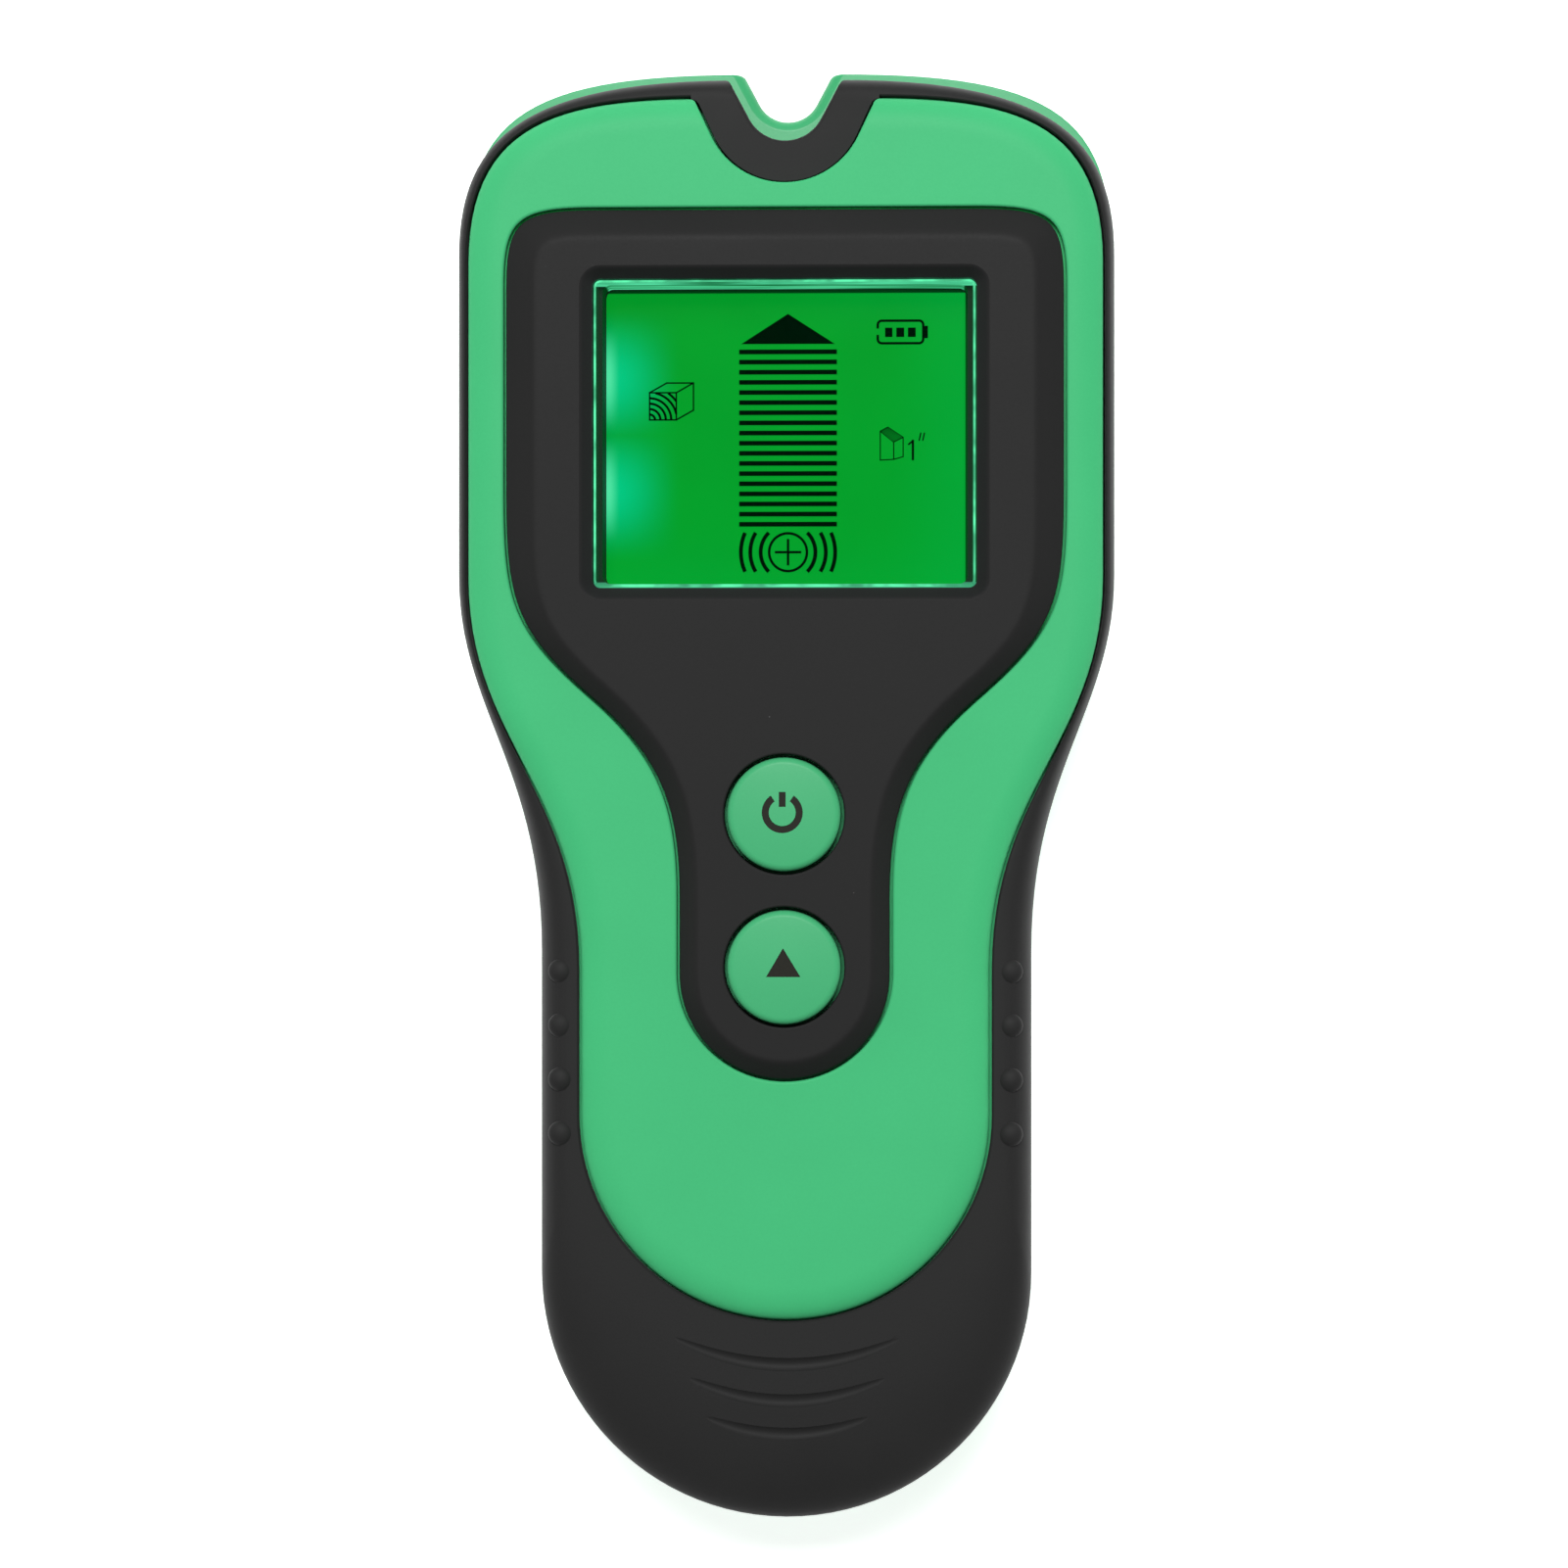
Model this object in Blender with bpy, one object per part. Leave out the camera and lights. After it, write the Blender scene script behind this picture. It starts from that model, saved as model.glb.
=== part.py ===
"""A handheld stud finder, lying on its flat sensing back, as separate closed solids.

Metres, +Z up. The back is at z = 0, the display and the buttons face +Z and the marking
notch points to +Y. The origin is under the middle of the bounding box.
"""

import math
from dataclasses import dataclass, replace

import bmesh
import bpy
from mathutils import Matrix, Vector

MM = 0.001

# Overall sizes
LENGTH = 160.0 * MM
HEAD_WIDTH = 72.2 * MM
HANDLE_WIDTH = 54.0 * MM
DEPTH = 30.0 * MM

# Walls and clearances
WALL = 2.0 * MM
SIDE_WALL = 1.4 * MM
GAP = 0.3 * MM
OVERRUN = 1.0 * MM
POCKET_FLOOR = 0.5 * MM

# Heights above the back
PARTING = 15.0 * MM
BUTTON_PROUD = 1.2 * MM
BEZEL_RISE = 1.8 * MM
PANEL_DOME = 1.6 * MM
BEZEL_FACE = DEPTH - BUTTON_PROUD
PANEL_FACE = BEZEL_FACE - BEZEL_RISE
RIM_FACE = PANEL_FACE - PANEL_DOME
RIM_ROUND = 4.4 * MM
CEILING = PANEL_FACE - WALL
LEDGE = PANEL_FACE - 5.0 * MM
SKIN = 1.3 * MM

# Outline stations, measured from a datum just under the rear shell's notch end
REAR_LIP = 0.5 * MM
TOP = LENGTH / 2
BOTTOM = -LENGTH / 2
DATUM = TOP - REAR_LIP
WAIST_TOP = DATUM - 55.8 * MM
WAIST_BOTTOM = DATUM - 97.1 * MM
REAR_EDGE_ROUND = 2.0 * MM
REAR_SIDE_INSET = 0.12 * MM
JACKET_SETBACK = 1.2 * MM
JACKET = 1.1 * MM

# Marking notch
NOTCH_FLANK = math.radians(28.0)
NOTCH_FRONT_RADIUS = 4.43 * MM
NOTCH_FRONT_CENTRE = DATUM - 3.85 * MM
NOTCH_REAR_RADIUS = 3.6 * MM
NOTCH_REAR_CENTRE = TOP - 1.6 * MM
NOTCH_LIP_ROUND = 1.3 * MM
SURROUND_RADIUS = 8.73 * MM
SURROUND_CENTRE = DATUM - 4.2 * MM
SURROUND_FLANK = math.radians(25.0)
NOTCH_RUN = TOP + 6.0 * MM

# Green panel and black centre bezel
PANEL_HEEL = BOTTOM + 44.6 * MM
PANEL_BAND = 4.7 * MM
BEZEL_BAND = 5.7 * MM
BEZEL_NECK = 11.45 * MM
BEZEL_TOP = DATUM - 16.1 * MM
BEZEL_FLANGE = 1.5 * MM
BEZEL_SKIN = 1.3 * MM
BEZEL_SLOPE_HEAD = 3.25 * MM
BEZEL_SLOPE_NECK = 2.05 * MM

# Buttons and their switches
BUTTON_DIAMETER = 12.35 * MM
BUTTON_HOLE_GAP = 0.38 * MM
BUTTON_FLANGE = 1.3 * MM
BUTTON_FLANGE_THICK = 1.2 * MM
BUTTON_TRAVEL = 0.8 * MM
BUTTON_SPACE = 4.25 * MM
MODE_Y = DATUM - 98.6 * MM
POWER_Y = MODE_Y + BUTTON_DIAMETER + BUTTON_SPACE
STEM_OFFSET = 2.8 * MM
STEM_DIAMETER = 4.4 * MM
SWITCH_SIZE = 4.5 * MM
SWITCH_HEIGHT = 3.5 * MM
PLUNGER_DIAMETER = 2.2 * MM
PLUNGER_PROUD = 1.2 * MM
PLUNGER_DEPTH = 1.4 * MM

# Display
WINDOW_WIDTH = 41.9 * MM
WINDOW_HEIGHT = 33.7 * MM
WINDOW_Y = DATUM - 40.5 * MM
WINDOW_CORNER = 0.9 * MM
WINDOW_CHAMFER = 1.1 * MM
LENS_THICK = 1.5 * MM
VIEW_MARGIN = 1.0 * MM
GLASS_MARGIN = 1.1 * MM
GLASS_THICK = 1.7 * MM
GUIDE_THICK = 2.7 * MM
GASKET_THICK = 1.0 * MM
CARRIER_WALL = 1.7 * MM
LED_WIDTH = 1.2 * MM
LED_LENGTH = 3.2 * MM
LED_SPREAD = 6.2 * MM
ZEBRA_WIDTH = 2.0 * MM
GUIDE_CLEARANCE = 0.8 * MM
TUNNEL_WALL = 1.0 * MM

# Circuit boards
BOARD_THICK = 1.2 * MM
BOARD_TOP = 14.1 * MM
BOARD_BOTTOM = BOARD_TOP - BOARD_THICK
BOARD_HALF = HEAD_WIDTH / 2 - 9.1 * MM
BOARD_TAIL = 12.0 * MM
BOARD_SCREW_INSET = 2.5 * MM
BOARD_SCREW_RADIUS = 0.9 * MM
BOARD_SCREW_HEAD = 1.9 * MM
BOARD_SCREW_TIP = BOARD_TOP + 5.0 * MM
BOARD_END = DATUM - 12.4 * MM
BOARD_CORNER = 1.6 * MM
BOARD_WAIST_MARGIN = 4.0 * MM
SENSOR_BOARD_THICK = 1.0 * MM
SENSOR_HALF = HEAD_WIDTH / 2 - 10.1 * MM
FOIL_THICK = 0.2 * MM
COIL_Y = DATUM - 42.0 * MM
COIL_OUTER = 23.0 * MM
COIL_INNER = 17.5 * MM
COIL_HEIGHT = 4.4 * MM
COIL_FLANGE = 0.9 * MM
COIL_TUBE = 1.2 * MM
COIL_SLACK = 0.6 * MM
ELECTRODE_TOP = DATUM - 17.0 * MM
ELECTRODE_FOOT = DATUM - 66.0 * MM
ELECTRODE_HALF = 5.0 * MM
ELECTRODE_CENTRE_HALF = 6.5 * MM
SENSOR_TOP = DATUM - 15.0 * MM
SENSOR_FOOT = DATUM - 74.0 * MM
HEADER_HALF = 5.0 * MM
HEADER_WIDTH = 2.5 * MM
CHIP_HEIGHT = 1.5 * MM
CONTROLLER_HALF = 5.0 * MM
AMPLIFIER_X = 14.5 * MM
AMPLIFIER_HALF = (2.5 * MM, 2.0 * MM)
CHIPS_Y = DATUM - 53.0 * MM
BUZZER_RADIUS = 6.0 * MM
CAPACITOR_RADIUS = 2.2 * MM
CAPACITOR_HEIGHT = 6.0 * MM
CAPACITOR_SPACE = 1.2 * MM

# Battery, its bay and door
BATTERY_WIDTH = 26.5 * MM
BATTERY_DEPTH = 17.5 * MM
BATTERY_LENGTH = 46.4 * MM
BATTERY_CORNER = 2.2 * MM
TERMINAL_HEIGHT = 2.0 * MM
TERMINAL_RADIUS = 2.9 * MM
TERMINAL_SPREAD = 6.35 * MM
SNAP_WIDTH = 25.0 * MM
SNAP_DEPTH = 12.6 * MM
SNAP_THICK = 4.2 * MM
BAY_END = BOTTOM + 8.9 * MM
BAY_WALL = 1.3 * MM
BAY_CEILING = 0.9 * MM
BAY_FRONT_WALL = 1.0 * MM
DOOR_THICK = 1.5 * MM
DOOR_RECESS = 0.2 * MM
DOOR_LEDGE = 2.2 * MM
DOOR_CORNER = 5.0 * MM
DOOR_RIB = 1.1 * MM
LEAD_DIAMETER = 1.1 * MM
LEAD_X = 8.4 * MM
LEAD_REACH = 4.6 * MM
LEAD_SLOT_SPARE = 0.2 * MM
LATCH_HALF = 5.0 * MM
LOCATOR_HALF = 2.0 * MM
LOCATOR_X = 6.0 * MM
RIB_HALF_THICK = 0.45 * MM
THUMB_GROOVES = 5
THUMB_GROOVE_PITCH = 2.4 * MM
THUMB_GROOVE_WIDTH = 1.2 * MM
THUMB_GROOVE_DEPTH = 0.5 * MM
THUMB_GROOVE_HALF = 8.0 * MM
THUMB_GROOVE_TAPER = 0.9 * MM

# Screws
CASE_SCREW_RADIUS = 1.1 * MM
CASE_SCREW_HEAD = 2.6 * MM
CASE_SCREW_SEAT = 6.0 * MM
CASE_SCREW_LENGTH = 15.0 * MM
BOSS_WALL = 1.6 * MM
SCREW_HEAD_THICK = 1.7 * MM
SCREW_HEAD_EDGE = 0.5 * MM
SCREW_CROSS_DEPTH = 0.9 * MM
POST_WALL = 0.6 * MM
BOARD_POST_WALL = 1.1 * MM
HANDLE_SCREW_Y = BOTTOM + 38.0 * MM
HEAD_SCREW_INSET = 5.2 * MM
HANDLE_SCREW_INSET = 6.4 * MM

# Rating label
LABEL_WIDTH = 42.0 * MM
LABEL_HEIGHT = 24.0 * MM
LABEL_THICK = 0.15 * MM
LABEL_CORNER = 1.2 * MM
LABEL_RECESS = 0.5 * MM
LABEL_FOOT = 0.05 * MM

CIRCLE_STEPS = 20
CURVE_STEPS = 7
NOTCH_STEPS = 8
LIP_STEPS = 3
QUARTER = 4 / 3 * math.tan(math.pi / 8)
SHOULDER_SHARES = (0.0, 0.12, 0.42, 1.0)


@dataclass(frozen=True)
class Knot:
    """A point of an outline, with its heading in degrees and how far its curve reaches."""

    x: float
    y: float
    heading: float
    before: float = 0.0
    after: float = 0.0

    def direction(self):
        angle = math.radians(self.heading)
        return Vector((math.cos(angle), math.sin(angle)))

    def moved_in(self, distance):
        along = self.direction()
        return replace(self, x=self.x + along.y * distance, y=self.y - along.x * distance)


@dataclass(frozen=True)
class Outline:
    """The right-hand side of a symmetric outline, from its top edge down to its lowest point."""

    knots: tuple

    def inset(self, distance, neck=None):
        """The same outline moved inwards, by another distance on the knots below the waist."""
        lower = distance if neck is None else neck
        half = len(self.knots) // 2
        moved = [k.moved_in(distance if i < half else lower) for i, k in enumerate(self.knots)]
        moved[-1] = replace(moved[-1], x=0.0)
        for i in range(len(moved) - 1):
            old = chord(self.knots[i], self.knots[i + 1])
            ratio = chord(moved[i], moved[i + 1]) / old
            moved[i] = replace(moved[i], after=moved[i].after * ratio)
            moved[i + 1] = replace(moved[i + 1], before=moved[i + 1].before * ratio)
        return Outline(tuple(moved))

    def points(self):
        """All points of the closed outline, down the right side and up the left."""
        right = []
        for a, b in zip(self.knots, self.knots[1:]):
            right += knot_curve(a, b)
        left = [(-x, y) for x, y in reversed(right)]
        return right + [(0.0, self.knots[-1].y)] + left


def chord(a, b):
    """Distance between two knots."""
    return math.hypot(b.x - a.x, b.y - a.y)


def knot_curve(a, b):
    """Points from knot a up to, and without, knot b: one on a straight run, more on a bend."""
    if not a.after:
        return [(a.x, a.y)]
    p0, p3 = Vector((a.x, a.y)), Vector((b.x, b.y))
    p1, p2 = p0 + a.direction() * a.after, p3 - b.direction() * b.before
    points = []
    for i in range(CURVE_STEPS):
        t = i / CURVE_STEPS
        s = 1 - t
        points.append(tuple(s**3 * p0 + 3 * s * s * t * p1 + 3 * s * t * t * p2 + t**3 * p3))
    return points


def mixed(first, second, share):
    """Points part of the way from one outline's points to another's."""
    return [(a[0] + (b[0] - a[0]) * share, a[1] + (b[1] - a[1]) * share) for a, b in zip(first, second)]


def heel_knots(half, heel_y):
    """The straight end of a handle and the half circle that closes it."""
    return (
        Knot(half, heel_y, -90, after=half * QUARTER),
        Knot(0.0, heel_y - half, 180, before=half * QUARTER),
    )


def body_outline(top, side_inset, shoulder):
    """Outline of the case: shoulder holds the shoulder's height and its two curve reaches."""
    head, handle = HEAD_WIDTH / 2 - side_inset, HANDLE_WIDTH / 2 - side_inset
    shoulder_y, top_reach, side_reach = shoulder
    return Outline((
        Knot(5.5 * MM, top, 0, after=top_reach),
        Knot(head, shoulder_y, -90, before=side_reach),
        Knot(head, WAIST_TOP, -90, after=14.6 * MM),
        Knot(handle, WAIST_BOTTOM, -90, before=20.3 * MM),
        *heel_knots(handle, BOTTOM + HANDLE_WIDTH / 2),
    ))


def panel_outline():
    """Outer edge of the green front panel."""
    head, handle = HEAD_WIDTH / 2 - JACKET - GAP, HANDLE_WIDTH / 2 - PANEL_BAND
    return Outline((
        Knot(8.9 * MM, DATUM - 3.8 * MM, 0, after=15.3 * MM),
        Knot(head, DATUM - 21.7 * MM, -90, before=15.8 * MM),
        Knot(head, DATUM - 56.1 * MM, -90, after=17.9 * MM),
        Knot(handle, DATUM - 99.0 * MM, -90, before=19.9 * MM),
        *heel_knots(handle, PANEL_HEEL),
    ))


def bezel_outline():
    """Outer edge of the black centre bezel."""
    head = HEAD_WIDTH / 2 - BEZEL_BAND
    middle = (head + BEZEL_NECK) / 2
    return Outline((
        Knot(head - 9.7 * MM, BEZEL_TOP, 0, after=8.25 * MM),
        Knot(head, BEZEL_TOP - 8.3 * MM, -90, before=7.2 * MM),
        Knot(head, DATUM - 46.2 * MM, -90, after=12.5 * MM),
        Knot(middle, DATUM - 69.3 * MM, -139, before=11.6 * MM, after=9.6 * MM),
        Knot(BEZEL_NECK, DATUM - 91.0 * MM, -90, before=10.2 * MM),
        *heel_knots(BEZEL_NECK, MODE_Y - 0.8 * MM),
    ))


JACKET_LINE = body_outline(DATUM - JACKET_SETBACK, 0.0, (DATUM - 20.65 * MM, 25.3 * MM, 11.8 * MM))
REAR_LINE = body_outline(TOP, REAR_SIDE_INSET, (DATUM - 19.0 * MM, 22.9 * MM, 15.2 * MM))
PANEL_LINE = panel_outline()
BEZEL_LINE = bezel_outline()


def shoulder_levels(inset, panel, depth):
    """The rounded way in from the case's side to the panel, a given depth under the jacket."""
    body, edge = JACKET_LINE.inset(inset).points(), panel.points()
    levels = []
    for share in SHOULDER_SHARES:
        rise = math.sqrt(1 - (1 - share) ** 3)
        levels.append((RIM_FACE - RIM_ROUND * (1 - rise) - depth, mixed(body, edge, share)))
    return levels


def rounded_rectangle(x, y, width, height, radius, steps=4):
    """Points of a rectangle with round corners, about its centre."""
    points = []
    for turn, (sx, sy) in enumerate(((1, 1), (-1, 1), (-1, -1), (1, -1))):
        cx, cy = x + sx * (width / 2 - radius), y + sy * (height / 2 - radius)
        for i in range(steps + 1):
            angle = math.pi / 2 * (turn + i / steps)
            points.append((cx + radius * math.cos(angle), cy + radius * math.sin(angle)))
    return points


def circle_points(x, y, radius, steps=CIRCLE_STEPS):
    """Points of a circle."""
    turns = (2 * math.pi * i / steps for i in range(steps))
    return [(x + radius * math.cos(a), y + radius * math.sin(a)) for a in turns]


def notch_points(radius, centre_y, flank, lip=0.0, lip_y=TOP):
    """A round-bottomed V that opens upwards, with rounded lips at lip_y if lip is given."""
    arc = []
    for i in range(NOTCH_STEPS + 1):
        angle = -flank - (math.pi - 2 * flank) * i / NOTCH_STEPS
        arc.append((radius * math.cos(angle), centre_y + radius * math.sin(angle)))
    x, y = arc[0]
    if lip:
        lip_x = x + (lip_y - y) * math.tan(flank) + lip * math.tan(math.pi / 4 - flank / 2)
        side = [(lip_x + lip / 2, NOTCH_RUN), (lip_x, lip_y)]
        for i in range(1, LIP_STEPS + 1):
            angle = math.pi / 2 + (math.pi / 2 - flank) * i / LIP_STEPS
            side.append((lip_x + lip * math.cos(angle), lip_y - lip + lip * math.sin(angle)))
    else:
        side = [(x + (NOTCH_RUN - y) * math.tan(flank), NOTCH_RUN)]
    return side + arc + [(-px, py) for px, py in reversed(side)]


def lofted(levels):
    """A closed mesh through outlines of equal length, given as (height, points) pairs."""
    bm = bmesh.new()
    height, points = levels[0]
    ring = [bm.verts.new((x, y, height)) for x, y in points]
    edges = list(bm.faces.new(ring).edges)
    for height, points in levels[1:]:
        place = {tuple(v.co): i for i, v in enumerate(ring)}
        grown = bmesh.ops.extrude_edge_only(bm, edges=edges)["geom"]
        edges = [g for g in grown if isinstance(g, bmesh.types.BMEdge)]
        verts = [g for g in grown if isinstance(g, bmesh.types.BMVert)]
        ring = sorted(verts, key=lambda v: place[tuple(v.co)])
        for vert, (x, y) in zip(ring, points):
            vert.co = (x, y, height)
    bm.faces.new(ring)
    bmesh.ops.recalc_face_normals(bm, faces=bm.faces)
    return bm


def prism(points, low, high):
    """A straight extrusion of an outline."""
    return lofted([(low, points), (high, points)])


def block(x0, x1, y0, y1, low, high):
    """A plain rectangular block."""
    return prism([(x0, y0), (x1, y0), (x1, y1), (x0, y1)], low, high)


def rod(x, y, radius, low, high, steps=CIRCLE_STEPS):
    """An upright cylinder."""
    return prism(circle_points(x, y, radius, steps), low, high)


def finish(name, colour, roughness, metallic=0.0, alpha=1.0):
    """A material with one Principled BSDF."""
    material = bpy.data.materials.new(name)
    material.use_nodes = True
    shader = material.node_tree.nodes["Principled BSDF"]
    shader.inputs["Base Color"].default_value = (*colour, 1.0)
    shader.inputs["Roughness"].default_value = roughness
    shader.inputs["Metallic"].default_value = metallic
    shader.inputs["Alpha"].default_value = alpha
    return material


def solid(name, bm, material=None):
    """An object from a bmesh, which is freed."""
    mesh = bpy.data.meshes.new(name)
    bm.to_mesh(mesh)
    bm.free()
    mesh.shade_smooth()
    mesh.set_sharp_from_angle(angle=math.radians(35))
    if material:
        mesh.materials.append(material)
    made = bpy.data.objects.new(name, mesh)
    bpy.context.scene.collection.objects.link(made)
    return made


def combine(target, tools, operation):
    """Applies a Boolean of each tool mesh to the target, one after the other."""
    for tool_mesh in tools:
        tool = solid("tool", tool_mesh) if isinstance(tool_mesh, bmesh.types.BMesh) else tool_mesh
        modifier = target.modifiers.new("combine", "BOOLEAN")
        modifier.operation = operation
        modifier.object = tool
        graph = bpy.context.evaluated_depsgraph_get()
        result = bpy.data.meshes.new_from_object(target.evaluated_get(graph))
        target.modifiers.clear()
        target.data = result
        bpy.data.objects.remove(tool)
    return target


def cut(target, *tools):
    """Takes each tool away from the target."""
    return combine(target, tools, "DIFFERENCE")


def join(target, *tools):
    """Adds each tool to the target."""
    return combine(target, tools, "UNION")


def frame_at(name, x, y, z):
    """An empty that carries the pieces of one moving body."""
    empty = bpy.data.objects.new(name, None)
    empty.location = (x, y, z)
    bpy.context.scene.collection.objects.link(empty)
    return empty


def carry(empty, *pieces):
    """Hangs pieces on an empty, with each piece's origin at the empty's place."""
    for piece in pieces:
        piece.data.transform(Matrix.Translation(-Vector(empty.location)))
        piece.parent = empty


def both_sides(x, y):
    """The same place on the right and on the left."""
    return ((x, y), (-x, y))


BOARD_SCREWS = (
    *both_sides(BOARD_HALF - BOARD_SCREW_INSET, BOARD_END - 2.3 * MM),
    *both_sides(BOARD_HALF - 6.0 * MM, DATUM - 72.0 * MM),
)
BATTERY_Z = DOOR_RECESS + DOOR_THICK + 2 * GAP
BATTERY_FOOT = BAY_END + GAP
BATTERY_HEAD = BATTERY_FOOT + BATTERY_LENGTH
SNAP_FOOT = BATTERY_HEAD + GAP
BAY_HEAD = SNAP_FOOT + SNAP_THICK + GAP
BAY_HALF = BATTERY_WIDTH / 2 + GAP
BAY_TOP = BATTERY_Z + BATTERY_DEPTH + GAP
BAY_BLOCK = DOOR_RECESS + DOOR_THICK + GAP + DOOR_RIB + GAP + POCKET_FLOOR
BOARD_TAIL_END = BAY_HEAD + BAY_FRONT_WALL + GAP
DOOR_HALF = BAY_HALF + DOOR_LEDGE
DOOR_FOOT = BAY_END - DOOR_LEDGE - GAP
DOOR_HEAD = BAY_HEAD + DOOR_LEDGE
BUTTON_HOLE = BUTTON_DIAMETER / 2 + BUTTON_HOLE_GAP
BEZEL_UNDER = PANEL_FACE - BEZEL_SKIN
LENS_TOP = BEZEL_FACE - WINDOW_CHAMFER
VIEW_WIDTH = WINDOW_WIDTH - 2 * VIEW_MARGIN
VIEW_HEIGHT = WINDOW_HEIGHT - 2 * VIEW_MARGIN / 2
GLASS_WIDTH = WINDOW_WIDTH + 2 * GLASS_MARGIN
GLASS_HEIGHT = WINDOW_HEIGHT + 2 * GLASS_MARGIN
GUIDE_Z = BOARD_TOP + GUIDE_CLEARANCE
GLASS_Z = GUIDE_Z + GUIDE_THICK + GAP
GLASS_TOP = GLASS_Z + GLASS_THICK
GASKET_Z = GLASS_TOP + GAP
TUNNEL_FOOT = GASKET_Z + GASKET_THICK + GAP
CARRIER_TOP = WINDOW_Y + GLASS_HEIGHT / 2 + GAP + CARRIER_WALL
POST_RADIUS = CASE_SCREW_HEAD + GAP + POST_WALL
BOARD_POST_RADIUS = BOARD_SCREW_RADIUS + GAP + BOARD_POST_WALL
CASE_SCREWS = (
    *both_sides(HEAD_WIDTH / 2 - HEAD_SCREW_INSET, CARRIER_TOP + POST_RADIUS + GAP),
    *both_sides(HANDLE_WIDTH / 2 - HANDLE_SCREW_INSET, HANDLE_SCREW_Y),
)


def door_plate(grow, low, high):
    """The battery door's rounded plate, or its recess when it is grown."""
    points = rounded_rectangle(
        0.0,
        (DOOR_FOOT + DOOR_HEAD) / 2,
        2 * (DOOR_HALF + grow),
        DOOR_HEAD - DOOR_FOOT + 2 * grow,
        DOOR_CORNER + grow,
    )
    return prism(points, low, high)


def door_ribs(grow, low, high):
    """The latch rib at the head end of the door and the two locating ribs at its heel end."""
    head_y = BAY_HEAD + DOOR_LEDGE / 2
    foot_y = BAY_END - DOOR_LEDGE / 2 - GAP / 2
    thick = RIB_HALF_THICK + grow
    ribs = []
    for x, y, half in (
        (0.0, head_y, LATCH_HALF),
        (-LOCATOR_X, foot_y, LOCATOR_HALF),
        (LOCATOR_X, foot_y, LOCATOR_HALF),
    ):
        ribs.append(block(x - half - grow, x + half + grow, y - thick, y + thick, low, high))
    return ribs


def make_rear_housing(material):
    """The green rear shell with the battery bay, screw posts and door recess."""
    line = REAR_LINE
    edge = []
    for turn in (0, 30, 60, 90):
        angle = math.radians(turn)
        inset = REAR_EDGE_ROUND * (1 - math.sin(angle))
        edge.append((REAR_EDGE_ROUND * (1 - math.cos(angle)), line.inset(inset).points()))
    rear = solid("rear_housing", lofted([*edge, (PARTING, line.points())]), material)
    hollow = solid("hollow", prism(line.inset(WALL).points(), WALL, PARTING + OVERRUN))
    cut(hollow, prism(notch_points(NOTCH_FRONT_RADIUS + WALL, NOTCH_FRONT_CENTRE, NOTCH_FLANK), 0.0, DEPTH))
    cut(hollow, door_plate(1.2 * MM, 0.0, BAY_BLOCK))
    cut(hollow, block(
        -BAY_HALF - BAY_WALL, BAY_HALF + BAY_WALL,
        BAY_END - BAY_WALL, BAY_HEAD + BAY_FRONT_WALL, 0.0, DEPTH,
    ))
    for x, y in CASE_SCREWS:
        cut(hollow, rod(x, y, POST_RADIUS, 0.0, PARTING - GAP))
    cut(rear, hollow)
    bay_top = BAY_TOP + BAY_CEILING
    bay = solid("bay", block(
        -BAY_HALF - BAY_WALL, BAY_HALF + BAY_WALL,
        BAY_END - BAY_WALL, BAY_HEAD + BAY_FRONT_WALL, PARTING / 2, bay_top,
    ))
    room = JACKET + GAP + SIDE_WALL + GAP
    combine(bay, [lofted([
        (0.0, JACKET_LINE.inset(room).points()),
        *shoulder_levels(room, PANEL_LINE.inset(WALL + GAP), JACKET + SKIN + 2 * GAP),
    ])], "INTERSECT")
    join(rear, bay)
    cut(rear, block(-BAY_HALF, BAY_HALF, BAY_END, BAY_HEAD, -OVERRUN, BAY_TOP))
    cut(rear, door_plate(GAP, -OVERRUN, DOOR_RECESS + DOOR_THICK + GAP))
    pocket_top = DOOR_RECESS + DOOR_THICK + GAP + DOOR_RIB + GAP
    cut(rear, *door_ribs(GAP, OVERRUN, pocket_top))
    for side in (-1, 1):
        x = side * LEAD_X
        slot = LEAD_DIAMETER / 2 + GAP
        low = BAY_TOP - LEAD_DIAMETER - 2 * GAP - LEAD_SLOT_SPARE
        cut(rear, block(x - slot, x + slot, BAY_HEAD - OVERRUN, BAY_HEAD + 2 * OVERRUN, low, BAY_TOP))
    cut(rear, prism(notch_points(
        NOTCH_REAR_RADIUS, NOTCH_REAR_CENTRE, NOTCH_FLANK, NOTCH_LIP_ROUND / 1.5), -OVERRUN, DEPTH))
    for x, y in CASE_SCREWS:
        cut(rear, rod(x, y, CASE_SCREW_HEAD + GAP, -OVERRUN, CASE_SCREW_SEAT))
        cut(rear, rod(x, y, CASE_SCREW_RADIUS + GAP, OVERRUN, PARTING + OVERRUN, 12))
    recess = (LABEL_WIDTH + 2 * GAP, LABEL_HEIGHT + 2 * GAP, LABEL_CORNER + GAP)
    cut(rear, prism(rounded_rectangle(0.0, COIL_Y, *recess), -OVERRUN, LABEL_RECESS))
    return rear


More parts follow.
